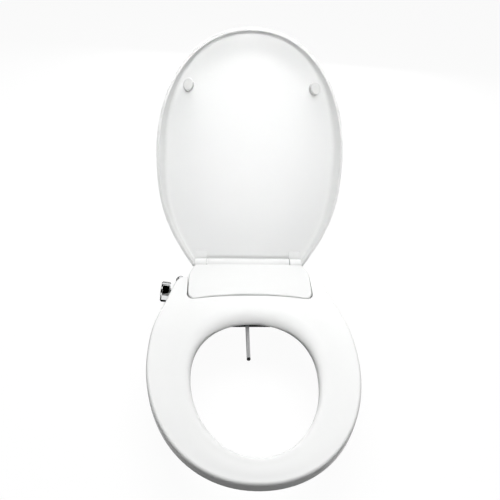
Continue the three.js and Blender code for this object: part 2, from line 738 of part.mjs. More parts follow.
screwSpots.forEach(([x, y], i) => {
  const top = trayFloor - gap;
  const profile = [[0, top - 2.2], [screwHead - 0.6, top - 2.2], [screwHead, top - 1.2], [screwHead, top],
    [screwRadius, top], [screwRadius, screwTip - 2], [0, screwTip - 0.6]];
  piece(group, `cover_screw_${i + 1}`, turned(profile, at(x, y, 0), alongZ, 10), steel);
});

// ---------------------------------------------------------------- bowl fixings
const boltAt = -hingeBehindBolts;
const plateTop = matThickness + gap + bracketThickness;
const hookWindow = [-13, 1];

function slots(z0, z1) {
  return [-boltX, boltX].map((x) => {
    const shape = new THREE.Shape();
    shape.absarc(x - boltSlot, boltAt, boltRadius + gap, Math.PI / 2, (3 * Math.PI) / 2, false);
    shape.absarc(x + boltSlot, boltAt, boltRadius + gap, -Math.PI / 2, Math.PI / 2, false);
    const options = { depth: z1 - z0, bevelEnabled: false, curveSegments: 6 };
    const geometry = new THREE.ExtrudeGeometry(shape, options);
    geometry.translate(0, 0, z0);
    return solid(geometry);
  });
}

const mat = cut(
  block([4 - bracketHalfWidth, bracketHalfWidth - 4], [bracketFront, bracketBack], [0, matThickness]),
  ...slots(-1, 5),
).intersect(slab(housing, skirt + runningGap, -1, 10));
piece(group, 'bowl_mat', mat, blackRubber);

const bracket = cut(
  block([-bracketHalfWidth, bracketHalfWidth], [bracketFront, bracketBack], [matThickness + gap, plateTop]),
  ...[-1, 1].map((side) => {
    const xs = side < 0 ? [-200, 5 - bracketHalfWidth] : [bracketHalfWidth - 5, 200];
    return block(xs, [-100, 100], [0, matThickness + gap + 1.8]);
  }),
  ...slots(0, 10),
  block([-8, 8], hookWindow, [0, 10]),
  block([-8, 8], [0, 4.5], [0, matThickness + gap + 1.9]),
).intersect(slab(housing, skirt + runningGap, 0, 10));
piece(group, 'bracket_plate', bracket, steel);

const washerHeight = 12;
const washerRadius = 13;
const nutHeight = 14;
const wingReach = 22;
for (const [name, x] of [['left', -boltX], ['right', boltX]]) {
  const head = plateTop + gap;
  const washerFoot = -chinaThickness - washerHeight;
  const nutTop = washerFoot - gap;
  const tip = nutTop - nutHeight - 19.7;
  const bolt = [[0, tip], [boltRadius - 1, tip], [boltRadius, tip + 1], [boltRadius, head],
    [2.25 * boltRadius, head], [2.25 * boltRadius, head + 1.5], [1.5 * boltRadius, head + 3],
    [0, head + 3.3]];
  piece(group, `fixing_bolt_${name}`, turned(bolt, at(x, boltAt, 0), alongZ, 12), steel);
  const bore = boltRadius + gap;
  const cone = [[bore, washerFoot], [8, washerFoot], [washerRadius, -chinaThickness - 3],
    [washerRadius, -chinaThickness], [bore, -chinaThickness], [bore, washerFoot]];
  piece(group, `cone_washer_${name}`, turned(cone, at(x, boltAt, 0), alongZ, 14), blackRubber);
  const collar = [[bore, nutTop - nutHeight], [8, nutTop - nutHeight], [9, nutTop - 4], [12, nutTop - 2],
    [12, nutTop], [bore, nutTop], [bore, nutTop - nutHeight]];
  const wings = cut(
    block([x - wingReach, x + wingReach], [boltAt - 2, boltAt + 2], [nutTop - nutHeight - 3, nutTop - 3]),
    post(bore, x, boltAt, nutTop - 20, nutTop + 1, 12),
    ...[-wingReach, wingReach].map((reach) => {
      const corner = new THREE.CylinderGeometry(5, 5, 10, 8);
      corner.translate(x + reach, boltAt, nutTop - 2);
      return solid(corner);
    }),
  );
  piece(group, `wing_nut_${name}`, join(turned(collar, at(x, boltAt, 0), alongZ, 12), wings), whitePlain);
}

// ---------------------------------------------------------------- release button and spring
const buttonFront = 12.4;
const buttonBack = housingBack + 2.5;
const latchFloor = trayFloor + trayThickness + gap;
const button = join(
  block([-13.4, 13.4], [buttonFront, buttonBack], [latchFloor, 23.6]),
  block([-6, 6], [-9, 13], [latchFloor, latchFloor + 3]),
  block([-6, 6], [-8, -3.5], [2.1, latchFloor + 1]),
  block([-6, 6], [-4.5, 3.2], [matThickness + 2 * gap, matThickness + gap + 1.5]),
);
piece(group, 'release_button', button, whitePlain);

class Helix extends THREE.Curve {
  constructor(radius, turns, length) {
    super();
    Object.assign(this, { radius, turns, length });
  }
  getPoint(t, target = new THREE.Vector3()) {
    const angle = t * this.turns * 2 * Math.PI;
    return target.set(this.radius * Math.cos(angle), t * this.length, this.radius * Math.sin(angle));
  }
}
const springWire = 0.5;
const springFrom = 1; // the back face of the tray's bridge
const springLength = buttonFront - springFrom - 2 * (springWire + gap);
const wireSection = new THREE.Shape();
wireSection.absarc(0, 0, springWire, 0, 2 * Math.PI, false);
const springCoil = new THREE.ExtrudeGeometry(wireSection, {
  steps: 36, extrudePath: new Helix(2.6, 4, springLength), curveSegments: 2,
});
springCoil.translate(0, springFrom + springWire + gap, 19.6);
piece(group, 'latch_spring', solid(springCoil), steel);

// ---------------------------------------------------------------- hinges and dampers
const damper = (length, radius, bore) => [[0, 0], [radius - 1, 0], [radius, 1], [radius, length - 1],
  [radius - 1, length], [bore, length], [bore, length - 12], [0, length - 12]];
const away = alongX.clone().negate();
const seatPivot = at(0, seatPivotAt, seatPivotHeight);
const lidPivot = at(0, 0, hingeHeight);
const hub = at(0, 0, 0);

const seatDamperAt = at(seatDamperLength - seatDamperEnd, seatPivotAt, seatPivotHeight);
piece(group, 'seat_damper_body',
  turned(damper(seatDamperLength, seatDamperRadius, seatPinRadius + gap), seatDamperAt, away), greyNylon);
piece(group, 'seat_damper_shaft',
  turned(rod(seatPinRadius, seatDamperEnd - shaftGrip, seatPinReach - 2 * gap), seatPivot, away), steel);
piece(group, 'seat_pivot_pin',
  turned(rod(seatPinRadius, pinBlockStart + 1, seatPinReach - 2), seatPivot, alongX), steel);
piece(group, 'seat_bush',
  turned(sleeve(seatPinRadius + gap, seatPinRadius + gap + bushWall,
    housingX + housingHalfWidth + seatToHousing + gap, seatPinReach - gap), seatPivot, alongX), greyNylon);

piece(group, 'lid_damper_body',
  turned(damper(lidDamperLength, lidDamperRadius, lidPinRadius + gap), at(lidDamperTail, 0, hingeHeight),
    alongX), greyNylon);
piece(lidGroup, 'lid_damper_shaft',
  turned(rod(lidPinRadius, lidDamperEnd - shaftGrip, knuckleOuter - knuckleEnd - gap), hub, alongX), steel);
piece(group, 'lid_pivot_pin',
  turned(rod(lidPinRadius, pinBlockFrom - 1, knuckleOuter - knuckleEnd - 2), lidPivot, away), steel);
piece(lidGroup, 'lid_bush',
  turned(sleeve(lidPinRadius + gap, lidPinRadius + gap + bushWall, knuckleInner + gap,
    knuckleOuter - knuckleEnd - gap), hub, away), greyNylon);

// ---------------------------------------------------------------- nozzle
function makeShield() {
  const profile = new THREE.Shape();
  profile.moveTo(shieldBack, 1);
  profile.lineTo(shieldHeel + 7, 1);
  profile.lineTo(shieldHeel, -shieldDepth);
  profile.lineTo(shieldFront + 1, -shieldDepth);
  profile.lineTo(shieldFront, -shieldDepth + 1);
  profile.lineTo(shieldFront, shieldTop - 7.8);
  profile.lineTo(shieldFront + 7, shieldTop);
  profile.lineTo(shieldBack, shieldTop);
  const body = sideProfile(profile, -shieldHalfWidth, shieldHalfWidth);
  const cornerCut = [-1, 1].map((side) => {
    const wedge = new THREE.BoxGeometry(30, 12, 60);
    wedge.rotateZ(side * degrees(-35));
    wedge.translate(side * (shieldHalfWidth + 8), shieldFront - 2.6, 0);
    return solid(wedge);
  });
  const slot = block([nozzleX - feedRadius - gap, nozzleX + feedRadius + gap],
    [shieldFront - 10, shieldBack + 10], [nozzleHeight, 40]);
  const below = sideProfile(underSlot(), -200, 200);
  return cut(body, ...cornerCut, slabOf(0.6), feedTunnel(gap, -60, 5), slot.intersect(below));
}

// The open trough that the feed pipe lies in rises with the pipe.
function underSlot() {
  const shape = new THREE.Shape();
  shape.moveTo(shieldFront - 10, feedLine(10).z);
  shape.lineTo(shieldFront - 10, 60);
  shape.lineTo(shieldFront + 70, 60);
  shape.lineTo(shieldFront + 70, feedLine(-70).z);
  return shape;
}
const slabOf = (spread) => slab(housingPlan(spread), 0, -5, 60);

piece(group, 'nozzle_shield', makeShield(), blackPlastic);

const feedProfile = [
  [0, feedBack - 10], [2.2, feedBack - 10], [2.8, feedBack - 8], [2.4, feedBack - 7], [2.4, feedBack],
  [feedRadius, feedBack], [feedRadius, -1], [feedBore, -1], [feedBore, feedBack + 4], [0, feedBack + 4],
];
const onNozzle = (profile) => turned(profile, at(0, 0, 0), alongY, 12);
piece(nozzleGroup, 'nozzle_feed', onNozzle(feedProfile), whitePlain);

const tubeBore = nozzleRadius + gap;
piece(nozzleGroup, 'gland_bush', onNozzle([
  [tubeBore, -10], [feedBore - gap, -10], [feedBore - gap, -1 + gap], [feedRadius, -1 + gap],
  [feedRadius, 1.5], [feedRadius - 1, 2.5], [tubeBore, 2.5], [tubeBore, -10],
]), blackPlastic);
piece(nozzleGroup, 'gland_seal', onNozzle(sleeve(tubeBore, feedBore - gap, -12.3, -10 - gap)), blackRubber);

const pistonBack = -23;
const pistonFront = -15;
piece(nozzleGroup, 'nozzle_piston', onNozzle([
  [tubeBore, pistonBack], [feedBore - gap, pistonBack], [feedBore - gap, pistonBack + 2.5],
  [feedBore - 0.7, pistonBack + 2.5], [feedBore - 0.7, pistonBack + 5.5], [feedBore - gap, pistonBack + 5.5],
  [feedBore - gap, pistonFront], [tubeBore, pistonFront], [tubeBore, pistonBack],
]), whitePlain);
const pistonRing = sleeve(feedBore - 0.4, feedBore - 0.1, pistonBack + 2.8, pistonBack + 5.2);
piece(nozzleGroup, 'piston_seal', onNozzle(pistonRing), blackRubber);

const tipLength = 4;
const tubeEnd = nozzleReach - tipLength;
const spigot = 2.2;
const tube = onNozzle([
  [spigot, pistonBack - 1.8], [feedBore - gap - 0.3, pistonBack - 1.8],
  [feedBore - gap - 0.3, pistonBack - gap],
  [nozzleRadius, pistonBack - gap], [nozzleRadius, tubeEnd], [spigot, tubeEnd], [spigot, pistonBack - 1.8],
]);
const sprayHoles = [9, 12, 15].map((back) =>
  turned(rod(0.5, 0, 10), at(0, nozzleReach - back, 0), alongZ.clone().negate(), 6));
piece(nozzleGroup, 'nozzle_tube', cut(tube, ...sprayHoles), steel);
piece(nozzleGroup, 'nozzle_tip', onNozzle([
  [0, tubeEnd - 3], [spigot - gap, tubeEnd - 3], [spigot - gap, tubeEnd + gap], [nozzleRadius, tubeEnd + gap],
  [nozzleRadius, nozzleReach - 1.6], [nozzleRadius - 0.6, nozzleReach - 0.5],
  [nozzleRadius - 1.8, nozzleReach],
  [0, nozzleReach],
]), blackPlastic);

// ---------------------------------------------------------------- tap
const tapBack = -25;
const tapFront = 15;
const tapNeck = 8;
const tapFlange = 12.5;
const flangeBack = -15.3;
const inletFrom = 16.5; // of the threaded part, from the tap's centre
const inletSeat = inletFrom + 3.5;
const inletEnd = inletFrom + inletLength;
const inletSide = 3.5; // the inlet stands off the tap's centre
const outletRadius = 4.2;
const barb = { bore: 2.2, radius: 2.7, step: 16, end: 19 };
const cartridge = { radius: 6, bore: 3.3, from: 4, step: 8, to: 12 };
const stem = { radius: 3, spline: 3.6, splineFrom: 17.5, splineLength: 9 };

const onTap = (profile, segments = 18) => turned(profile, tapCentre, tapDirection, segments);
const onInlet = (profile) =>
  turned(profile, at(tapCentre.x - inletSide, tapCentre.y, tapCentre.z + 1), alongY, 18);

const tapBody = cut(
  join(
    onTap([
      [0, tapBack], [tapNeck, tapBack], [tapNeck, flangeBack], [tapFlange, flangeBack],
      [tapFlange, carrierFrom - gap], [tapBodyRadius, carrierFrom - gap], [tapBodyRadius, tapFront - 2],
      [tapBodyRadius - 2, tapFront], [0, tapFront],
    ]),
    onInlet([
      [0, 2], [inletBore, 2], [inletBore, inletFrom], [inletRadius, inletFrom], [inletRadius, inletEnd - 2.5],
      [inletRadius - 0.8, inletEnd], [0, inletEnd],
    ]),
    turned([
      [0, 0], [outletRadius, 0], [outletRadius, outletLength], [barb.bore, outletLength],
      [barb.bore, barb.step], [barb.radius, barb.step + 1], [barb.bore - 0.2, barb.end], [0, barb.end],
    ], outlet, forward, 12),
  ),
  onInlet(rod(inletBore, inletSeat, inletEnd + 10)),
  onTap(rod(cartridge.radius + gap, cartridge.from, tapFront + 5)),
);
piece(group, 'valve_body', tapBody, chrome);

const washer = sleeve(inletBore / 2, inletBore - 0.4, inletSeat + gap, inletSeat + 2.5);
piece(group, 'inlet_washer', onInlet(washer), blackRubber);

const nut = sleeve(tapBodyRadius + gap, tapBodyRadius + 3, carrierTo + gap, carrierTo + 3.3);
piece(group, 'valve_nut', onTap(nut), chrome);

piece(group, 'valve_cartridge', onTap([
  [0, cartridge.from + gap], [cartridge.radius, cartridge.from + gap], [cartridge.radius, cartridge.to],
  [cartridge.bore, cartridge.to], [cartridge.bore, cartridge.step], [0, cartridge.step],
], 14), brass);

const knobBack = 23.5;
const knobFront = knobBack + knobDepth;
const knobFloor = knobFront - 4; // of the recess under the cap
const capRadius = 11;
const screwHole = 2;
const splineEnd = knobBack + stem.splineLength;
piece(group, 'valve_spindle', onTap([
  [0, cartridge.step + gap], [stem.radius, cartridge.step + gap], [stem.radius, stem.splineFrom - 0.5],
  [stem.spline, stem.splineFrom], [stem.spline, splineEnd], [screwHole - 0.4, splineEnd],
  [screwHole - 0.4, knobBack + 2], [0, knobBack + 2],
], 12), brass);

piece(group, 'control_knob', onTap([
  [stem.spline + gap, knobBack - 2], [tapNeck, knobBack - 2], [tapNeck, knobBack],
  [knobRadius - 2, knobBack], [knobRadius, knobBack + 2], [knobRadius, knobFront - 2.5],
  [knobRadius - 2.5, knobFront], [capRadius, knobFront], [capRadius, knobFloor], [screwHole, knobFloor],
  [screwHole, splineEnd + 1], [stem.spline + gap, splineEnd + 1], [stem.spline + gap, knobBack - 2],
], 20), chrome);

const screw = { shank: 1.3, head: 3, headDepth: 1.5 };
piece(group, 'knob_screw', onTap([
  [0, knobBack + 3], [screw.shank, knobBack + 3], [screw.shank, knobFloor + gap],
  [screw.head, knobFloor + gap], [screw.head, knobFloor + gap + screw.headDepth],
  [0, knobFloor + gap + screw.headDepth],
], 12), steel);

const capFoot = knobFloor + 2 * gap + screw.headDepth + 0.1;
piece(group, 'knob_cap', onTap([
  [0, capFoot], [capRadius - gap, capFoot], [capRadius - gap, knobFront], [capRadius - 3, knobFront + 0.8],
  [0, knobFront + 0.8],
], 28), chrome);

const hoseBore = 3;
piece(group, 'water_hose', cut(
  hose(hoseRadius, 4, 22),
  turned(rod(hoseBore, outletLength - 1, barb.end + 1), outlet, forward),
  turned(rod(hoseBore, feedBack - 10, feedBack + 1), feedLine(0), nozzleDirection),
), clearHose);

export default group;
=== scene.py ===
"""A bidet seat with its lid open: smooth shells, finishes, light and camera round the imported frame."""

import json
import math

import bmesh
import bpy
import numpy as np
from mathutils import Matrix, Vector


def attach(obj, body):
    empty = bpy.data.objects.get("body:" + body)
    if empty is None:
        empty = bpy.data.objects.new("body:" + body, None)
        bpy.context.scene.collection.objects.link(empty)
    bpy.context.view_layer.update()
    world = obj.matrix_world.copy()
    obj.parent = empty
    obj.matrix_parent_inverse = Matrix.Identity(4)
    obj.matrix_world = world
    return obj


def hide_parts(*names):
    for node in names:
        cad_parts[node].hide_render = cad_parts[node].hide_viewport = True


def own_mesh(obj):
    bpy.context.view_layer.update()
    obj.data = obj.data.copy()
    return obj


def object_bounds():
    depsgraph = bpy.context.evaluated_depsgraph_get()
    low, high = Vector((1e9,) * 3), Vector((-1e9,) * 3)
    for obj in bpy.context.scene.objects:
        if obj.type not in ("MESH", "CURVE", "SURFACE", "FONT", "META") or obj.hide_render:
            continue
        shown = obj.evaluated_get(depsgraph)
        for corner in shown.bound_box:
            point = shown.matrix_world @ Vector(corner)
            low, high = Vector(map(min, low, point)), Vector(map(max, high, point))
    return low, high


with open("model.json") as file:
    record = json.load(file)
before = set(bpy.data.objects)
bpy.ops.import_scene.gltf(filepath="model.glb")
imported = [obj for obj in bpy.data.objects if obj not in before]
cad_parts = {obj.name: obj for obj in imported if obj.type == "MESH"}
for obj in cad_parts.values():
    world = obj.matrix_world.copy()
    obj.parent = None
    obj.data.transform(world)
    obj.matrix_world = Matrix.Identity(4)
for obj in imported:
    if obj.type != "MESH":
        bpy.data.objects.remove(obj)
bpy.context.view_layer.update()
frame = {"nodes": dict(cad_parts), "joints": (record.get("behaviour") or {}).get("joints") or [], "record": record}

MM = 0.001
scene = bpy.context.scene
joints = {joint["name"]: joint for joint in frame["joints"]}

# ---------------------------------------------------------------- sizes, in millimetres
# Plan sizes are measured from the lid's hinge line, heights from the bowl's rim. The lid's own sizes
# are those of the closed lid, with heights from its hinge line.
HINGE_Y, HINGE_Z = (value / MM for value in joints["lid_hinge"]["pos_m"][1:])
PIVOT_Y = joints["seat_hinge"]["pos_m"][1] / MM - HINGE_Y
PIVOT_Z = joints["seat_hinge"]["pos_m"][2] / MM
LID_OPEN = math.radians(-joints["lid_hinge"]["range_deg"][0])

# Walls, and the clearances of fixed and of moving pieces.
WALL = 3.5
COVER_WALL = 2.8
GAP = 0.3
RUNNING_GAP = 0.6

# The ring. Its angles are in degrees from the front.
SEAT_HALF_WIDTH = 181.5
SEAT_FRONT = -455
SEAT_WIDEST_AT = -219
SEAT_UNDERSIDE = 14.8
SEAT_TOP = 32.8
SEAT_CROWN = 0.6
SEAT_EDGE = 5
SEAT_BOTTOM_EDGE = 1.2
SEAT_CENTRE = -235
HORN_HALF_WIDTH = 147.5
HORN_CORNER_AT = -45
HORN_END = -25
HORN_END_HALF = 123
HORN_RADIUS = 14.5
HORN_SOLID = 18
HOLE_HALF_WIDTH = 106.5
HOLE_FRONT = -413
HOLE_WIDEST_AT = -259
HOLE_BACK = -145
HOLE_EDGE = 0.6
RIB_ANGLES = (20, 56, 76, 92, 124)
RIB_HALF = 1.2
RIB_SPAN = (-210, -70)
RIB_SETBACK = 4
BUMPER_ANGLES = (-108, -38, 38, 108)
BUMPER_BOSS = 7
BUMPER_PEG = 2.7
BUMPER_PEG_DEPTH = 8
SEAT_PIN = 4
SEAT_PIN_REACH = 134.5
BUSH_WALL = 2

# The roll into the ring's hole: its width and drop at the front, what each gains by the back, and how far it
# stops short of upright there, in radians.
ROLL_WIDTH, ROLL_WIDENS = 10, 23
ROLL_DROP, ROLL_DEEPENS = 7, 8.4
ROLL_EASES = 0.35

# The lid. Its inner wall leans, and has a fillet at the panel, which both grow from the front to the sides.
LID_HALF_WIDTH = 183.4
LID_FRONT = -456.3
LID_WIDEST_AT = -218
LID_CENTRE = -225
LID_CORNER_X = 112.5
LID_CORNER_Y = 4.5
LID_BACK = 3
LID_LIP = -1
LID_RIM = 5.5
LID_PANEL = 15.8
LID_THICKNESS = 4.4
LID_DOME = 2.2
LID_INNER_DOME = LID_DOME * 0.85
LID_ROLL_IN = 20
LID_ROLL_DOWN = 13
LID_ROLL_POWER = 2.5
LID_LIP_RADIUS = 0.8
LID_LEAN = 11
LID_FILLET, LID_FILLET_GAIN = 3.5, 2.5
LID_BUMPER_X = 121.3
LID_BUMPER_Y = -352
LID_BUMPER_TURN = math.radians(20)
LID_BUMPER_HALF = (9, 11.75)
LID_BUMPER_FOOT = SEAT_TOP + SEAT_CROWN + 0.5 - HINGE_Z
LID_BUMPER_ROUND = 2.2
LID_BOSS = 12
LID_PIN = 3
LID_PIN_WALL = 5
WEB_FRONT = -26
WEB_HEEL, WEB_TOE = 4.4, -1.1
EMBED = 2

# The housing, its barrel and the lid's knuckles at the barrel's ends.
HOUSING_X = 1.2
HOUSING_HALF_WIDTH = 121
HOUSING_FRONT = -83.3
HOUSING_CORNER = -93
HOUSING_BACK = 15
HOUSING_CENTRE = -45
HOUSING_TOP = 33.7
HOUSING_SLOPE = 0.176
COVER_UNDERSIDE = 8
COVER_EDGE = 2.5
COVER_INNER_EDGE = 2
SEAT_TO_HOUSING = 2.2
KNUCKLE_RADIUS = 13.4
KNUCKLE_INNER = 85.6
KNUCKLE_OUTER = 109
KNUCKLE_GAP = 1.7
BARREL_HALF = KNUCKLE_INNER - KNUCKLE_GAP
BARREL_INSIDE = BARREL_HALF - COVER_WALL
BARREL_SPAN = (20, 95)
NOZZLE_X = -6.5
NOZZLE_HALF = 8
NOTCH_HALF = 13
BUTTON_HALF = 14

# Bodies that cut reach past the part on each side, above the ring and behind the lid.
ACROSS = (-200, 200)
HIGH = 60
BEHIND = 40

# The facets round a pin, the radius under which a point is on its axis, the distance in metres under which
# points are one, and the angles in degrees from which edges stay sharp.
PIN_SEGMENTS = 32
ON_AXIS = 1e-9
MERGE = 1e-6
SHARP, BUMPER_SHARP, CAD_SHARP = 32, 60, 31


# ---------------------------------------------------------------- curves and outlines
def bezier(*controls, steps=80):
    """Points of a straight line, a quadratic or a cubic curve, without the first one."""
    t = np.linspace(0, 1, steps + 1)[1:, None]
    degree = len(controls) - 1
    terms = (
        math.comb(degree, i) * t**i * (1 - t) ** (degree - i) * np.array(point, float)
        for i, point in enumerate(controls)
    )
    return sum(terms)


def path(start, *spans):
    """One line of points through spans, each given by the controls that follow the last point."""
    points = [np.array([start], float)]
    for span in spans:
        points.append(bezier(points[-1][-1], *span))
    return np.concatenate(points)


class Outline:
    """A plan outline, alike on both sides, read as a distance from a centre at each angle from the front."""

    def __init__(self, centre, points, x=0.0):
        self.x = x
        self.centre = centre
        self.angles = np.arctan2(points[:, 0], centre - points[:, 1])
        self.angles[-1] = math.pi
        self.radii = np.hypot(points[:, 0], points[:, 1] - centre)

    def radius(self, angle):
        turn = np.abs(np.arctan2(np.sin(angle), np.cos(angle)))
        return np.interp(turn, self.angles, self.radii)

    def inset(self, angle, distance):
        """The same outline moved in by a distance, square to its edge."""
        step = 0.006
        slope = (self.radius(angle + step) - self.radius(angle - step)) / (2 * step * self.radius(angle))
        return self.radius(angle) - distance * np.hypot(1, slope)


# Each plan names the handles that pull its curves: off its front, ahead of and behind its widest place, and
# at its corners.
def seat_points():
    front, ahead, behind = 117, 124, 77.5
    corner_out, corner_ahead = 22, 92.5
    horn_in, horn_ahead = 7, 2
    widest = (SEAT_HALF_WIDTH, SEAT_WIDEST_AT)
    corner = (HORN_HALF_WIDTH, HORN_CORNER_AT)
    return path(
        (0, SEAT_FRONT),
        ((front, SEAT_FRONT), (SEAT_HALF_WIDTH, SEAT_WIDEST_AT - ahead), widest),
        (
            (SEAT_HALF_WIDTH, SEAT_WIDEST_AT + behind),
            (HORN_HALF_WIDTH + corner_out, HORN_CORNER_AT - corner_ahead),
            corner,
        ),
        ((HORN_HALF_WIDTH - horn_in, HORN_END - horn_ahead), (HORN_END_HALF, HORN_END)),
        ((0, HORN_END),),
    )


def hole_points():
    front, ahead, behind, back = 56.5, 91.5, 72, 60
    widest = (HOLE_HALF_WIDTH, HOLE_WIDEST_AT)
    return path(
        (0, HOLE_FRONT),
        ((front, HOLE_FRONT), (HOLE_HALF_WIDTH, HOLE_WIDEST_AT - ahead), widest),
        ((HOLE_HALF_WIDTH, HOLE_WIDEST_AT + behind), (back, HOLE_BACK), (0, HOLE_BACK)),
    )


def lid_points():
    front, ahead, behind = 113.5, 132.5, 101
    corner_out, corner_ahead = 50.6, 74.6
    back_rise = 8
    widest = (LID_HALF_WIDTH, LID_WIDEST_AT)
    corner = (LID_CORNER_X, LID_CORNER_Y)
    return path(
        (0, LID_FRONT),
        ((front, LID_FRONT), (LID_HALF_WIDTH, LID_WIDEST_AT - ahead), widest),
        (
            (LID_HALF_WIDTH, LID_WIDEST_AT + behind),
            (LID_CORNER_X + corner_out, LID_CORNER_Y - corner_ahead),
            corner,
        ),
        ((0, LID_CORNER_Y + back_rise),),
    )


def housing_points(spread):
    """The housing's plan: a bowed front, tight front corners, straight sides, and a taper to the back."""
    side = HOUSING_HALF_WIDTH + spread
    front = HOUSING_CORNER - spread
    return path(
        (0, HOUSING_FRONT - spread),
        # the bowed front and its corner
        ((50, HOUSING_FRONT - spread), (side - 45, front + 6), (side - 14, front)),
        ((side - 8, front - 0.2), (side - 0.5, front + 4), (side - 0.2, front + 17)),
        # the side, and the turn into the taper
        ((side, -40),),
        ((side, -31), (side - 3, -25), (side - 10, -13.5)),
        # the taper and the back
        ((side - 20, 4),),
        ((side - 28, HOUSING_BACK + spread),),
        ((0, HOUSING_BACK + spread),),
    )


seat_plan = Outline(SEAT_CENTRE, seat_points())
hole_plan = Outline(SEAT_CENTRE, hole_points())
lid_plan = Outline(LID_CENTRE, lid_points())


def housing_plan(spread):
    return Outline(HOUSING_CENTRE, housing_points(spread), HOUSING_X)


def stations(step, *fine):
    """Angles from the front round to the front again, alike on both sides, finer in the given stretches."""
    side = [0.0]
    while side[-1] < 180 - 1e-6:
        here = side[-1]
        steps = [size for start, end, size in fine if start <= here < end]
        side.append(min(here + (steps[0] if steps else step), 180.0))
    turns = side + [-angle for angle in side[-2:0:-1]]
    return np.radians(turns)


# ---------------------------------------------------------------- meshes
def quarter(steps):
    """Angles of a quarter turn."""
    return [i / steps * math.pi / 2 for i in range(steps + 1)]


def mesh_object(name, verts, faces):
    mesh = bpy.data.meshes.new(name)
    mesh.from_pydata([tuple(v) for v in np.asarray(verts) * MM], [], faces)
    mesh.update()
    made = bpy.data.objects.new(name, mesh)
    scene.collection.objects.link(made)
    return made


def loft(name, outline, angles, section):
    """Skins a closed body from (radius, height) steps round a centre. Ends that reach the axis are capped."""
    columns = [(np.broadcast_to(r, angles.shape), np.broadcast_to(z, angles.shape)) for r, z in section]
    poles = [i for i, (r, z) in enumerate(columns) if np.all(np.abs(r) < ON_AXIS)]
    rings = [i for i in range(len(columns)) if i not in poles]
    count = len(angles)
    verts = []
    for i in rings:
        r, z = columns[i]
        verts.append(np.stack([outline.x + r * np.sin(angles), outline.centre - r * np.cos(angles), z], 1))
    verts = np.concatenate(verts)
    faces = []
    spans = list(zip(range(len(rings)), range(1, len(rings))))
    if not poles:
        spans.append((len(rings) - 1, 0))
    for a, b in spans:
        for j in range(count):
            k = (j + 1) % count
            faces.append((a * count + j, a * count + k, b * count + k, b * count + j))
    if poles:
        caps = [[outline.x, outline.centre, columns[i][1][0]] for i in poles]
        first, last = len(verts), len(verts) + 1
        verts = np.concatenate([verts, caps])
        top = (len(rings) - 1) * count
        for j in range(count):
            k = (j + 1) % count
            faces.append((first, k, j))
            faces.append((last, top + j, top + k))
    made = mesh_object(name, verts, faces)
    outward(made)
    return made


def outward(made):
    """Turns every face's normal outward."""
    shape = bmesh.new()
    shape.from_mesh(made.data)
    bmesh.ops.recalc_face_normals(shape, faces=shape.faces)
    shape.to_mesh(made.data)
    shape.free()


def slab(outline, angles, inset, z0, z1):
    """A flat plate with the outline's plan."""
    radius = outline.inset(angles, inset)
    return loft("slab", outline, angles, [(0, z0), (radius, z0), (radius, z1), (0, z1)])


def block(xs, ys, zs):
    """A box from its two ends along each axis."""
    verts = [(x, y, z) for x in xs for y in ys for z in zs]
    faces = [(0, 1, 3, 2), (4, 6, 7, 5), (0, 4, 5, 1), (2, 3, 7, 6), (0, 2, 6, 4), (1, 5, 7, 3)]
    made = mesh_object("block", verts, faces)
    outward(made)
    return made


def lathe(name, profile, origin=(0, 0, 0), direction=(0, 0, 1), segments=64):
    """A body of revolution. The profile is a list of (radius, distance along the axis)."""
    poles = [abs(radius) < ON_AXIS for radius, _ in profile]
    verts = []
    rows = []
    for (radius, along), pole in zip(profile, poles):
        if pole:
            rows.append([len(verts)])
            verts.append((0, 0, along))
            continue
        rows.append(list(range(len(verts), len(verts) + segments)))
        for i in range(segments):
            turn = 2 * math.pi * i / segments
            verts.append((radius * math.cos(turn), radius * math.sin(turn), along))
    pairs = list(zip(rows, rows[1:]))
    if not poles[0]:
        pairs.append((rows[-1], rows[0]))
    faces = []
    for low, high in pairs:
        for i in range(segments):
            j = (i + 1) % segments
            corners = [low[i % len(low)], low[j % len(low)], high[j % len(high)], high[i % len(high)]]
            face = tuple(dict.fromkeys(corners))
            if len(face) > 2:
                faces.append(face)
    turn = Vector((0, 0, 1)).rotation_difference(Vector(direction))
    placed = [turn @ Vector(v) + Vector(origin) for v in verts]
    made = mesh_object(name, placed, faces)
    outward(made)
    return made


def bar(radius, x0, x1, y, z, segments=96):
    """A round bar along x."""
    return lathe("bar", [(0, x0), (radius, x0), (radius, x1), (0, x1)], (0, y, z), (1, 0, 0), segments)


def post(radius, x, y, z0, z1, segments=40):
    """An upright round bar."""
    return lathe("post", [(0, z0), (radius, z0), (radius, z1), (0, z1)], (x, y, 0), (0, 0, 1), segments)


def side_profile(points, x0, x1):
    """A side view in Y and Z, given width from x0 to x1."""
    count = len(points)
    verts = [(x, y, z) for x in (x0, x1) for y, z in points]
    faces = [tuple(range(count)), tuple(range(2 * count - 1, count - 1, -1))]
    for i in range(count):
        j = (i + 1) % count
        faces.append((i, j, count + j, count + i))
    made = mesh_object("profile", verts, faces)
    outward(made)
    return made


def combine(base, operation, *others):
    """Joins, cuts or intersects the base with the others, which are used up."""
    for other in others:
        step = base.modifiers.new("step", "BOOLEAN")
        step.operation = operation
        step.solver = "MANIFOLD"
        step.object = other
    bpy.context.view_layer.update()
    result = bpy.data.meshes.new_from_object(base.evaluated_get(bpy.context.evaluated_depsgraph_get()))
    base.modifiers.clear()
    base.data = result
    for other in others:
        bpy.data.objects.remove(other)
    return base


def join(base, *others):
    return combine(base, "UNION", *others)


def cut(base, *others):
    return combine(base, "DIFFERENCE", *others)


def intersect(base, *others):
    return combine(base, "INTERSECT", *others)


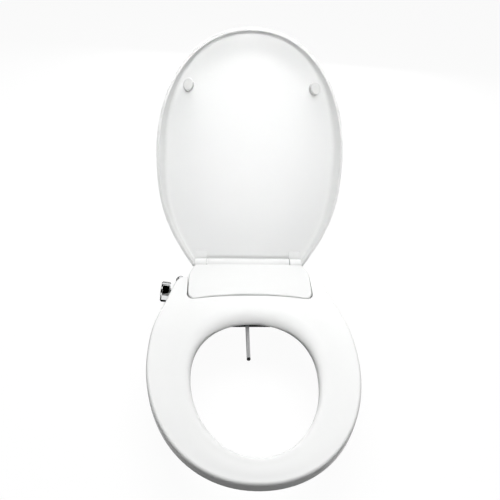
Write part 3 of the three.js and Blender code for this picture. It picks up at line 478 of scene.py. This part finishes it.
def smooth(made, sharp_from=SHARP):
    """Smooth shading that stops at real edges."""
    shape = bmesh.new()
    shape.from_mesh(made.data)
    bmesh.ops.remove_doubles(shape, verts=shape.verts, dist=MERGE)
    for face in shape.faces:
        face.smooth = True
    for edge in shape.edges:
        edge.smooth = len(edge.link_faces) == 2 and edge.calc_face_angle(0) < math.radians(sharp_from)
    shape.to_mesh(made.data)
    shape.free()
    weights = made.modifiers.new("even_normals", "WEIGHTED_NORMAL")
    weights.keep_sharp = True
    return made


def place(made, matrix):
    """Moves the mesh itself, so that the object stays at the origin."""
    made.data.transform(matrix)
    made.data.update()
    return made


to_seat = Matrix.Translation((0, HINGE_Y * MM, 0))
to_lid = Matrix.Translation((0, HINGE_Y * MM, HINGE_Z * MM)) @ Matrix.Rotation(-LID_OPEN, 4, "X")


# ---------------------------------------------------------------- seat ring
def seat_roll(angles, wall=0.0, steps=16):
    """The roll into the hole, from its top to its lip, as radii and heights. It is an arc that ends upright
    at the front and still sloping at the back. A wall gives the same roll that far below."""
    back = (1 - np.cos(angles)) / 2
    width = ROLL_WIDTH + ROLL_WIDENS * back
    drop = ROLL_DROP + ROLL_DEEPENS * back
    steepest = math.pi / 2 - ROLL_EASES * back
    roll = []
    for share in np.linspace(0, 1, steps + 1):
        slope = steepest * share
        inset = width * (1 - np.sin(slope) / np.sin(steepest))
        radius = hole_plan.inset(angles, -inset - wall * np.sin(slope))
        height = SEAT_TOP - drop * (1 - np.cos(slope)) / (1 - np.cos(steepest))
        roll.append((radius, height - wall * np.cos(slope)))
    return roll


def seat_sections(angles):
    """The ring's outer skin: wall, rounded rim, faint crown, and the roll into the hole, wide at the back."""

    def outer(distance):
        return seat_plan.inset(angles, distance)

    corner = SEAT_BOTTOM_EDGE
    section = []
    for turn in quarter(4):
        section.append((outer(corner * (1 - math.sin(turn))), SEAT_UNDERSIDE + corner * (1 - math.cos(turn))))
    for turn in quarter(12):
        section.append((outer(SEAT_EDGE * (1 - math.cos(turn))), SEAT_TOP - SEAT_EDGE * (1 - math.sin(turn))))
    roll = seat_roll(angles)
    rim, inner_rim = outer(SEAT_EDGE), roll[0][0]
    for share in np.linspace(0, 1, 14)[1:-1]:
        crown = SEAT_CROWN * math.sin(math.pi * share) ** 2
        section.append((rim + (inner_rim - rim) * share, SEAT_TOP + crown))
    section += roll
    for turn in quarter(4):
        edge = hole_plan.inset(angles, -HOLE_EDGE * (1 - math.cos(turn)))
        section.append((edge, SEAT_UNDERSIDE + HOLE_EDGE * (1 - math.sin(turn))))
    return section


def seat_hollow_sections(angles):
    """The ring's hollow, a wall's thickness inside its skin and open below."""

    def outer(distance):
        return seat_plan.inset(angles, WALL + distance)

    fillet = 5
    top = SEAT_TOP - WALL
    section = [(outer(0), 0)]
    for turn in quarter(6):
        section.append((outer(fillet * (1 - math.cos(turn))), top - fillet * (1 - math.sin(turn))))
    section += seat_roll(angles, WALL, 8)
    section.append((hole_plan.inset(angles, -WALL), 0))
    return section


def bumper_spots():
    """Where the ring's feet stand, midway between its edge and its hole."""
    spots = []
    for angle in np.radians(BUMPER_ANGLES):
        radius = (seat_plan.radius(angle) + hole_plan.radius(angle)) / 2
        spots.append((radius * math.sin(angle), SEAT_CENTRE - radius * math.cos(angle)))
    return spots


def make_seat():
    """The ring: a hollow moulding with ribs and bosses, notched for the housing and the nozzle's feed, whose
    two horns carry the pin and the bush that it turns on."""
    fine = stations(2.5, (136, 154, 1))
    housing_turns = stations(4, (20, 110, 2))
    housing_left = HOUSING_X - HOUSING_HALF_WIDTH
    housing_right = HOUSING_X + HOUSING_HALF_WIDTH
    far_front, far_back, under = -500, 20, -1
    trim = join(
        block(ACROSS, (far_front, PIVOT_Y), (0, HIGH)),
        bar(HORN_RADIUS, *ACROSS, PIVOT_Y, PIVOT_Z),
    )
    ring = intersect(loft("seat_ring_skin", seat_plan, fine, seat_sections(fine)), trim)
    hollow = loft("hollow", seat_plan, fine, seat_hollow_sections(fine))
    keep = [
        slab(housing_plan(SEAT_TO_HOUSING + WALL), housing_turns, 0, under, HIGH),
        block(ACROSS, (PIVOT_Y - HORN_SOLID, far_back), (under, HIGH)),
    ]
    middle = Matrix.Translation((0, SEAT_CENTRE * MM, 0))
    for angle in RIB_ANGLES:
        for side in (-1, 1):
            rib = block((-RIB_HALF, RIB_HALF), RIB_SPAN, (SEAT_UNDERSIDE + RIB_SETBACK, HIGH))
            keep.append(place(rib, middle @ Matrix.Rotation(math.radians(side * angle), 4, "Z")))
    keep += [post(BUMPER_BOSS, x, y, SEAT_UNDERSIDE, HIGH) for x, y in bumper_spots()]
    cut(hollow, *keep)
    cut(
        ring,
        slab(housing_plan(SEAT_TO_HOUSING), housing_turns, 0, under, HIGH),
        hollow,
        *[post(BUMPER_PEG + GAP, x, y, 0, SEAT_UNDERSIDE + BUMPER_PEG_DEPTH) for x, y in bumper_spots()],
        block(
            (NOZZLE_X - NOTCH_HALF, NOZZLE_X + NOTCH_HALF),
            (HOUSING_FRONT - 20, HOUSING_FRONT + 2),
            (0, SEAT_TOP - WALL - GAP),
        ),
        bar(
            HORN_RADIUS + 1,
            housing_left - SEAT_TO_HOUSING,
            housing_right + SEAT_TO_HOUSING,
            PIVOT_Y,
            PIVOT_Z,
        ),
        bar(SEAT_PIN + GAP, -SEAT_PIN_REACH, -HOUSING_HALF_WIDTH, PIVOT_Y, PIVOT_Z, PIN_SEGMENTS),
        bar(SEAT_PIN + 2 * GAP + BUSH_WALL, housing_right, SEAT_PIN_REACH, PIVOT_Y, PIVOT_Z, PIN_SEGMENTS),
    )
    return place(smooth(ring), to_seat)


# ---------------------------------------------------------------- lid
def superellipse(steps, power):
    """Shares along and up a quarter of a superellipse, from its foot to its top."""
    return [
        (1 - math.cos(turn) ** (2 / power), math.sin(turn) ** (2 / power))
        for turn in quarter(steps)
    ]


def lid_sections(angles):
    """The lid's skin, from the middle of its inside out to the lip, round the rim and back over its top."""

    def edge(distance):
        return lid_plan.inset(angles, distance)

    top = LID_PANEL + LID_THICKNESS
    foot = LID_LIP + LID_LIP_RADIUS
    depth = LID_PANEL - foot
    side = np.sin(angles) ** 2
    lean = LID_LEAN * side
    fillet = LID_FILLET + LID_FILLET_GAIN * side
    taken = fillet / np.hypot(lean, depth)
    panel_edge = edge(LID_RIM + lean + fillet)
    section = [(0, LID_PANEL + LID_INNER_DOME)]
    for share in np.linspace(0, 1, 12)[1:-1]:
        section.append((panel_edge * share, LID_PANEL + LID_INNER_DOME * math.cos(math.pi / 2 * share) ** 2))
    for t in np.linspace(0, 1, 9):
        reach = lean + fillet * (1 - t) ** 2 - lean * taken * t**2
        section.append((edge(LID_RIM + reach), LID_PANEL - depth * taken * t**2))
    for t in (1 / 3, 2 / 3):
        left = (1 - taken) * (1 - t)
        section.append((edge(LID_RIM + lean * left), foot + depth * left))
    for turn in quarter(4):
        inset = LID_RIM - LID_LIP_RADIUS + LID_LIP_RADIUS * math.cos(turn)
        section.append((edge(inset), LID_LIP + LID_LIP_RADIUS - LID_LIP_RADIUS * math.sin(turn)))
    for turn in quarter(4):
        inset = LID_LIP_RADIUS * (1 - math.sin(turn))
        section.append((edge(inset), LID_LIP + LID_LIP_RADIUS * (1 - math.cos(turn))))
    for across, up in superellipse(16, LID_ROLL_POWER):
        section.append((edge(LID_ROLL_IN * across), top - LID_ROLL_DOWN * (1 - up)))
    panel = edge(LID_ROLL_IN)
    for share in np.linspace(1, 0, 12)[1:]:
        radius = panel * share if share > 0 else 0
        section.append((radius, top + LID_DOME * math.cos(math.pi / 2 * share) ** 2))
    return section


def oval(name, side, profile, segments=72):
    """An upright oval on the lid from (inset, height) steps, its long side along the rim."""
    turn = -side * LID_BUMPER_TURN
    verts, faces = [], []
    for inset, height in profile:
        for i in range(segments):
            t = 2 * math.pi * i / segments
            x = (LID_BUMPER_HALF[0] - inset) * math.cos(t)
            y = (LID_BUMPER_HALF[1] - inset) * math.sin(t)
            across = x * math.cos(turn) - y * math.sin(turn)
            along = x * math.sin(turn) + y * math.cos(turn)
            verts.append((side * LID_BUMPER_X + across, LID_BUMPER_Y + along, height))
    for row in range(len(profile) - 1):
        for i in range(segments):
            j = (i + 1) % segments
            a, b = row * segments, (row + 1) * segments
            faces.append((a + i, a + j, b + j, b + i))
    last = (len(profile) - 1) * segments
    faces.append(tuple(range(segments)))
    faces.append(tuple(range(last, last + segments)))
    made = mesh_object(name, verts, faces)
    outward(made)
    return made


def make_lid():
    """The lid: a shallow dish with bosses for its bumpers, cut away at the housing, and a knuckle on each
    side that a web joins to the panel. One knuckle takes the pin and the other the bush."""
    fine = stations(2.5, (142, 158, 0.8))
    shell = loft("lid_skin", lid_plan, fine, lid_sections(fine))
    low_down, slot_front, wall_front = -20, -8, -9
    web_top = LID_PANEL + EMBED
    knuckle_back = LID_BACK - 1
    foot = top_at(-KNUCKLE_RADIUS) - HINGE_Z + 2 * RUNNING_GAP
    web = [
        (0, 0),
        (WEB_HEEL - KNUCKLE_RADIUS, foot),
        (WEB_TOE - KNUCKLE_RADIUS, foot),
        (WEB_FRONT, LID_PANEL - EMBED),
        (WEB_FRONT, web_top),
        (knuckle_back, web_top),
        (knuckle_back, 0),
    ]
    join(shell, *[oval("boss", side, [(0, LID_BOSS), (0, web_top)]) for side in (-1, 1)])
    cut(
        shell,
        block((-KNUCKLE_INNER, KNUCKLE_INNER), (slot_front, BEHIND), (low_down, HIGH)),
        block((-KNUCKLE_OUTER, KNUCKLE_OUTER), (wall_front, BEHIND), (low_down, LID_PANEL - 1)),
        block(ACROSS, (LID_BACK, BEHIND), (low_down, HIGH)),
    )
    knuckles = []
    for x0, x1 in ((-KNUCKLE_OUTER, -KNUCKLE_INNER), (KNUCKLE_INNER, KNUCKLE_OUTER)):
        knuckles.append(bar(KNUCKLE_RADIUS, x0, x1, 0, 0))
        knuckles.append(side_profile(web, x0, x1))
    join(shell, *knuckles)
    bore_inner, bore_outer = KNUCKLE_INNER - 1, KNUCKLE_OUTER - LID_PIN_WALL
    cut(
        shell,
        bar(LID_PIN + 2 * GAP + BUSH_WALL, -bore_outer, -bore_inner, 0, 0, PIN_SEGMENTS),
        bar(LID_PIN + GAP, bore_inner, bore_outer, 0, 0, PIN_SEGMENTS),
    )
    return place(smooth(shell), to_lid)


def make_lid_bumper(name, side):
    """A soft white pad with a rounded foot."""
    foot = LID_BUMPER_ROUND
    chamfer = 0.6
    profile = [
        (foot * (1 - math.sin(turn)), LID_BUMPER_FOOT + foot * (1 - math.cos(turn)))
        for turn in quarter(8)
    ]
    profile += [(0, LID_BOSS - GAP - chamfer), (chamfer, LID_BOSS - GAP)]
    return place(smooth(oval(name, side, profile), BUMPER_SHARP), to_lid)


# ---------------------------------------------------------------- hinge cover
def top_at(y):
    """The height of the housing's sloping top."""
    return HOUSING_TOP + HOUSING_SLOPE * (y - HOUSING_CORNER)


def cover_skin(name, angles, inset, drop, roundover, z0):
    """A body with the housing's plan and sloping top, moved in and down, with its top edge rounded over."""
    outline = housing_plan(0)

    def edge(distance):
        return outline.inset(angles, inset + distance)

    def height(radius):
        return top_at(outline.centre - radius * np.cos(angles)) - drop

    section = [(0, z0), (edge(0), z0)]
    for turn in quarter(8):
        radius = edge(roundover * (1 - math.cos(turn)))
        section.append((radius, height(radius) - roundover * (1 - math.sin(turn))))
    section.append((0, top_at(outline.centre) - drop))
    return loft(name, outline, angles, section)


def barrel_profile(inset):
    """A side view of what is left of the housing behind, where its top goes over into the barrel."""
    radius = KNUCKLE_RADIUS - inset
    far_front, far_back, far_down, shoulder = -150, HOUSING_BACK + 10, -20, 27
    points = [
        (far_front, far_down),
        (far_back, far_down),
        (far_back, shoulder),
        (HOUSING_BACK - inset, shoulder),
    ]
    start, end = (math.radians(angle) for angle in BARREL_SPAN)
    for turn in np.linspace(start, end, 28):
        points.append((radius * math.cos(turn), HINGE_Z + radius * math.sin(turn)))
    points.append((far_front, HINGE_Z + radius + 10))
    return points


def make_cover():
    """The housing: a shelled cover that runs into the hinge's barrel, with a trough for each lid knuckle."""
    angles = stations(3, (15, 120, 1.5))
    outer = cover_skin("hinge_cover_skin", angles, 0, 0, COVER_EDGE, COVER_UNDERSIDE)
    intersect(outer, side_profile(barrel_profile(0), *ACROSS))
    join(outer, bar(KNUCKLE_RADIUS, -BARREL_HALF, BARREL_HALF, 0, HINGE_Z))
    inner = cover_skin("inside", angles, COVER_WALL, COVER_WALL, COVER_INNER_EDGE, 0)
    intersect(inner, side_profile(barrel_profile(COVER_WALL), *ACROSS))
    join(inner, bar(KNUCKLE_RADIUS - COVER_WALL, -BARREL_INSIDE, BARREL_INSIDE, 0, HINGE_Z))
    trough = KNUCKLE_RADIUS + RUNNING_GAP
    rear, over = (0, 60), 90
    far_left, far_right = ACROSS
    for x0, x1, i0, i1 in (
        (far_left, -BARREL_HALF, far_left, -BARREL_INSIDE),
        (BARREL_HALF, far_right, BARREL_INSIDE, far_right),
    ):
        cut(inner, bar(trough + COVER_WALL, i0, i1, 0, HINGE_Z))
        cut(inner, block((i0, i1), rear, (HINGE_Z - trough - COVER_WALL, over)))
        cut(outer, bar(trough, x0, x1, 0, HINGE_Z))
        cut(outer, block((x0, x1), rear, (HINGE_Z - trough, over)))
    # The inside goes, and then the passages for the pins, the nozzle's feed and the release button.
    seat_pin_from, lid_pin_from = 100, 70
    cut(
        outer,
        inner,
        bar(SEAT_PIN + RUNNING_GAP, far_left, -seat_pin_from, PIVOT_Y, PIVOT_Z, PIN_SEGMENTS),
        bar(SEAT_PIN + RUNNING_GAP, seat_pin_from, far_right, PIVOT_Y, PIVOT_Z, PIN_SEGMENTS),
        bar(LID_PIN + GAP, far_left, -lid_pin_from, 0, HINGE_Z, PIN_SEGMENTS),
        bar(LID_PIN + GAP, lid_pin_from, far_right, 0, HINGE_Z, PIN_SEGMENTS),
        block((NOZZLE_X - NOZZLE_HALF, NOZZLE_X + NOZZLE_HALF), (-110, -70), (0, 25)),
        block((-BUTTON_HALF, BUTTON_HALF), (5, 30), (0, 24)),
    )
    return place(smooth(outer), to_seat)


# ---------------------------------------------------------------- finishes
MOTTLE_SCALE = 14.0
GLOSS_SPREAD = (0.85, 1.15)


def node(tree, kind, **settings):
    """A new node. Each setting is one of its properties or, with _ for spaces, one of its sockets."""
    made = tree.nodes.new(kind)
    for name, value in settings.items():
        if hasattr(made, name):
            setattr(made, name, value)
        else:
            made.inputs[name.replace("_", " ")].default_value = value
    return made


def finish(
    name,
    colour,
    roughness,
    metallic=0.0,
    mottle=0.02,
    grain=900.0,
    bump=0.02,
    edge=0.6,
    stretch=None,
    **more,
):
    """A moulded or metal surface: faint mottling of its colour, a fine grain in gloss and relief, and edges
    softened over so many millimetres. The rest are sockets of the shader."""
    material = bpy.data.materials.new(name)
    material.use_nodes = True
    tree = material.node_tree
    link = tree.links.new
    shader = tree.nodes["Principled BSDF"]
    shader.inputs["Metallic"].default_value = metallic
    for socket, value in more.items():
        shader.inputs[socket.replace("_", " ")].default_value = value
    coords = node(tree, "ShaderNodeTexCoord")
    mapping = node(tree, "ShaderNodeMapping")
    if stretch:
        mapping.inputs["Scale"].default_value = stretch
    link(coords.outputs["Object"], mapping.inputs["Vector"])

    cloud = node(tree, "ShaderNodeTexNoise", Scale=MOTTLE_SCALE, Detail=3.0)
    link(coords.outputs["Object"], cloud.inputs["Vector"])
    tint = node(tree, "ShaderNodeMapRange", To_Min=1 - mottle, To_Max=1.0)
    link(cloud.outputs["Fac"], tint.inputs["Value"])
    tinted = node(tree, "ShaderNodeMix", data_type="RGBA", blend_type="MULTIPLY")
    tinted.inputs["Factor"].default_value = 1.0
    tinted.inputs[6].default_value = (*colour, 1)
    link(tint.outputs["Result"], tinted.inputs[7])
    link(tinted.outputs[2], shader.inputs["Base Color"])

    fine = node(tree, "ShaderNodeTexNoise", Scale=grain, Detail=2.0)
    link(mapping.outputs["Vector"], fine.inputs["Vector"])
    least, most = (roughness * share for share in GLOSS_SPREAD)
    gloss = node(tree, "ShaderNodeMapRange", To_Min=least, To_Max=most)
    link(fine.outputs["Fac"], gloss.inputs["Value"])
    link(gloss.outputs["Result"], shader.inputs["Roughness"])

    soft_edge = node(tree, "ShaderNodeBevel", samples=4)
    soft_edge.inputs["Radius"].default_value = edge * MM
    relief = node(tree, "ShaderNodeBump", Strength=bump, Distance=MM)
    link(fine.outputs["Fac"], relief.inputs["Height"])
    link(soft_edge.outputs["Normal"], relief.inputs["Normal"])
    link(relief.outputs["Normal"], shader.inputs["Normal"])
    return material


finishes = {
    "moulded_white": finish(
        "moulded_white", (0.90, 0.905, 0.90), 0.2, bump=0.01, grain=60.0, Specular_IOR_Level=0.22
    ),
    "tray_white": finish("tray_white", (0.82, 0.825, 0.815), 0.42, bump=0.05),
    "nut_white": finish("nut_white", (0.8, 0.805, 0.795), 0.45, bump=0.05),
    "soft_white": finish("soft_white", (0.78, 0.785, 0.775), 0.55, bump=0.08),
    "black_moulding": finish(
        "black_moulding", (0.010, 0.011, 0.012), 0.38, bump=0.08, Specular_IOR_Level=0.25
    ),
    "black_rubber": finish("black_rubber", (0.016, 0.016, 0.016), 0.75, bump=0.15),
    "grey_nylon": finish("grey_nylon", (0.28, 0.29, 0.3), 0.5, bump=0.06),
    "chromed_brass": finish(
        "chromed_brass", (0.78, 0.79, 0.8), 0.05, 1.0, bump=0.004, grain=60.0, edge=0.5
    ),
    "stainless_steel": finish(
        "stainless_steel", (0.56, 0.565, 0.57), 0.4, 1.0, bump=0.03, stretch=(1, 0.05, 1), edge=0.3
    ),
    "plain_brass": finish("plain_brass", (0.62, 0.43, 0.17), 0.3, 1.0, bump=0.03, edge=0.3),
    "clear_tube": finish("clear_tube", (0.7, 0.75, 0.76), 0.3, edge=0.2),
}


def dress(made, slot):
    """Gives an object its slot's finish alone."""
    made.data.materials.clear()
    made.data.materials.append(finishes[slot])
    for face in made.data.polygons:
        face.material_index = 0


# ---------------------------------------------------------------- CAD nodes that stay
slot_of = {part["node"]: part["material_slot"] for part in frame["record"]["subparts"]}
bodies = frame["record"]["behaviour"]["bodies"]
body_of = {name: body for body, names in bodies.items() for name in names}

for name, made in frame["nodes"].items():
    dress(made, slot_of[name])
    made.data.polygons.foreach_set("use_smooth", [True] * len(made.data.polygons))
    weld = made.modifiers.new("weld", "WELD")
    weld.merge_threshold = MERGE
    split = made.modifiers.new("edges", "EDGE_SPLIT")
    split.split_angle = math.radians(CAD_SHARP)


# ---------------------------------------------------------------- smooth pieces in place of CAD nodes
def stand_for(made, node_name, name):
    """Puts a piece in place of a CAD node, on its body and in its slot."""
    made.name = name
    dress(made, slot_of[node_name])
    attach(made, body_of[node_name])
    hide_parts(node_name)
    return made


stand_for(make_seat(), "seat_ring", "seat_ring_shell")
stand_for(make_lid(), "lid_shell", "lid_moulding")
stand_for(make_cover(), "hinge_cover", "hinge_cover_shell")
for name, side in (("left", -1), ("right", 1)):
    stand_for(make_lid_bumper("pad", side), f"lid_bumper_{name}", f"lid_bumper_{name}_pad")


def make_spring():
    """A copy of the latch's spring, the coil that the button presses shorter."""
    wound = frame["nodes"]["latch_spring"]
    verts = [wound.matrix_world @ vert.co for vert in wound.data.vertices]
    faces = [tuple(face.vertices) for face in wound.data.polygons]
    return smooth(mesh_object("spring", np.array(verts) / MM, faces))


spring = stand_for(make_spring(), "latch_spring", "latch_spring_coil")
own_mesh(spring)

# ---------------------------------------------------------------- floor, light and camera
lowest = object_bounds()[0].z
SEEN = ("Is Camera Ray", "Is Glossy Ray", "Is Transmission Ray")
FLOOR_REACH = 6e3
FLOOR_GLOW = 0.95
FLOOR_SHADE = 0.06
SKY_TOP = 0.03
HORIZON = 0.1
STAGE_GAP = 0.001


def seen(tree):
    """1 where a surface is seen, straight, mirrored or through glass, and 0 where it only gives light."""
    rays = node(tree, "ShaderNodeLightPath")
    level = rays.outputs[SEEN[0]]
    for kind in SEEN[1:]:
        either = node(tree, "ShaderNodeMath", operation="MAXIMUM")
        tree.links.new(level, either.inputs[0])
        tree.links.new(rays.outputs[kind], either.inputs[1])
        level = either.outputs[0]
    return level


def stage_floor():
    """A floor just under the part: near white where it is seen, and dark to all other light."""
    r = FLOOR_REACH
    floor = mesh_object("floor", [(-r, -r, 0), (r, -r, 0), (r, r, 0), (-r, r, 0)], [(0, 1, 2, 3)])
    place(floor, Matrix.Translation((0, 0, lowest - STAGE_GAP)))
    material = bpy.data.materials.new("pale_floor")
    material.use_nodes = True
    tree = material.node_tree
    tree.nodes.remove(tree.nodes["Principled BSDF"])
    link = tree.links.new
    glow = node(tree, "ShaderNodeEmission", Strength=FLOOR_GLOW)
    shade = node(tree, "ShaderNodeBsdfDiffuse")
    shade.inputs["Color"].default_value = (FLOOR_SHADE, FLOOR_SHADE, FLOOR_SHADE, 1)
    both = node(tree, "ShaderNodeAddShader")
    link(glow.outputs[0], both.inputs[0])
    link(shade.outputs[0], both.inputs[1])
    pick = node(tree, "ShaderNodeMixShader")
    link(seen(tree), pick.inputs[0])
    link(shade.outputs[0], pick.inputs[1])
    link(both.outputs[0], pick.inputs[2])
    link(pick.outputs[0], tree.nodes["Material Output"].inputs["Surface"])
    floor.data.materials.append(material)


def sky():
    """White where it is seen; as light, faint overhead and dark towards the horizon."""
    world = bpy.data.worlds.new("studio")
    scene.world = world
    world.use_nodes = True
    tree = world.node_tree
    link = tree.links.new
    background = tree.nodes["Background"]
    background.inputs["Color"].default_value = (1, 1, 1, 1)
    coords = node(tree, "ShaderNodeTexCoord")
    split = node(tree, "ShaderNodeSeparateXYZ")
    link(coords.outputs["Generated"], split.inputs[0])
    ramp = node(tree, "ShaderNodeMapRange", interpolation_type="SMOOTHSTEP", From_Min=HORIZON, To_Max=SKY_TOP)
    link(split.outputs["Z"], ramp.inputs["Value"])
    level = node(tree, "ShaderNodeMath", operation="MAXIMUM")
    link(ramp.outputs["Result"], level.inputs[0])
    link(seen(tree), level.inputs[1])
    link(level.outputs[0], background.inputs["Strength"])


def dark_cards():
    """Black cards that only polished surfaces see: an arch overhead, a band round the horizon and a piece of
    floor."""
    arch_radius, arch_y, arch_span = 3, -0.2, (-0.5, 1.0)
    band_radius, band_span = 3.6, (0, 0.9)
    patch_span, patch_ends = (-0.45, 0), (-0.075, 0.6)
    strips = [[], [], []]
    for turn in np.radians(np.linspace(-50, 88, 25)):
        y, z = arch_y - arch_radius * math.sin(turn), arch_radius * math.cos(turn)
        strips[0].append([(x, y, z) for x in arch_span])
    for turn in np.radians(np.arange(0, 361, 10)):
        x, y = band_radius * math.cos(turn), band_radius * math.sin(turn)
        strips[1].append([(x, y, z) for z in band_span])
    for y in patch_ends:
        strips[2].append([(x, y, lowest + STAGE_GAP) for x in patch_span])
    black = finish("black_card", (0.0, 0.0, 0.0), 1.0, Specular_IOR_Level=0.0)
    for number, strip in enumerate(strips, 1):
        verts = [corner for pair in strip for corner in pair]
        faces = [(2 * i, 2 * i + 1, 2 * i + 3, 2 * i + 2) for i in range(len(strip) - 1)]
        card = mesh_object(f"black_card_{number}", np.array(verts) / MM, faces)
        card.data.materials.append(black)
        card.visible_camera = card.visible_diffuse = False
        card.visible_shadow = card.visible_transmission = False


def lamp(name, position, aim, size, power, spread=180):
    """A lit rectangle that isn't seen itself. Lengths are in metres, power in watts and spread in degrees."""
    data = bpy.data.lights.new(name, "AREA")
    data.shape = "RECTANGLE"
    data.size, data.size_y = size
    data.energy = power
    data.spread = math.radians(spread)
    made = bpy.data.objects.new(name, data)
    scene.collection.objects.link(made)
    made.location = position
    made.visible_camera = made.visible_glossy = False
    made.rotation_mode = "QUATERNION"
    made.rotation_quaternion = (Vector(aim) - Vector(position)).to_track_quat("-Z", "Y")
    return made


def make_camera():
    """The photographer's place, above the seat's front and looking down at the open lid. It was solved from
    outlines: a place in millimetres, angles in radians, a lens in millimetres and a small shift."""
    position = Vector((-65.04, -753.94, 687.95)) * MM
    yaw, pitch, roll = 0.0876, 0.6649, 0.0633
    ahead = Vector((math.sin(yaw) * math.cos(pitch), math.cos(yaw) * math.cos(pitch), -math.sin(pitch)))
    right = Vector((math.cos(yaw), -math.sin(yaw), 0))
    above = right.cross(ahead)
    side = math.cos(roll) * right + math.sin(roll) * above
    top = math.cos(roll) * above - math.sin(roll) * right
    data = bpy.data.cameras.new("camera")
    data.sensor_width = 36
    data.lens = 35.26
    data.shift_x, data.shift_y = -0.001, 0.001
    made = bpy.data.objects.new("camera", data)
    scene.collection.objects.link(made)
    turn = Matrix((side, top, -ahead)).transposed()
    made.matrix_world = Matrix.Translation(position) @ turn.to_4x4()
    scene.camera = made


stage_floor()
sky()
dark_cards()
lamp("back_softbox", (0.05, 0.5, 1.6), (0, -0.2, 0.03), (1.6, 0.9), 31.5)
lamp("front_spot", (0.03, -0.62, 1.5), (0, -0.46, 0.03), (0.5, 0.3), 0.15, spread=30)
lamp("lid_top_beam", (0.02, -0.85, 1.12), (0.01, 0.2, 0.42), (0.5, 0.3), 0.3, spread=30)
lamp("lid_beam", (0.02, -0.9, 1.05), (0.01, 0.17, 0.34), (0.5, 0.3), 0.24, spread=40)
lamp("lid_low_beam", (0.02, -1.1, 0.55), (0.01, 0.11, 0.26), (0.5, 0.3), 0.18, spread=36)
lamp("lid_foot_beam", (0.02, -1.2, 0.32), (0.01, 0.04, 0.13), (0.5, 0.2), 0.15, spread=24)
lamp("rear_softbox", (0.2, 1.7, 0.5), (0, 0.1, 0.2), (1.4, 0.8), 24)
make_camera()
scene.view_settings.view_transform = "Standard"
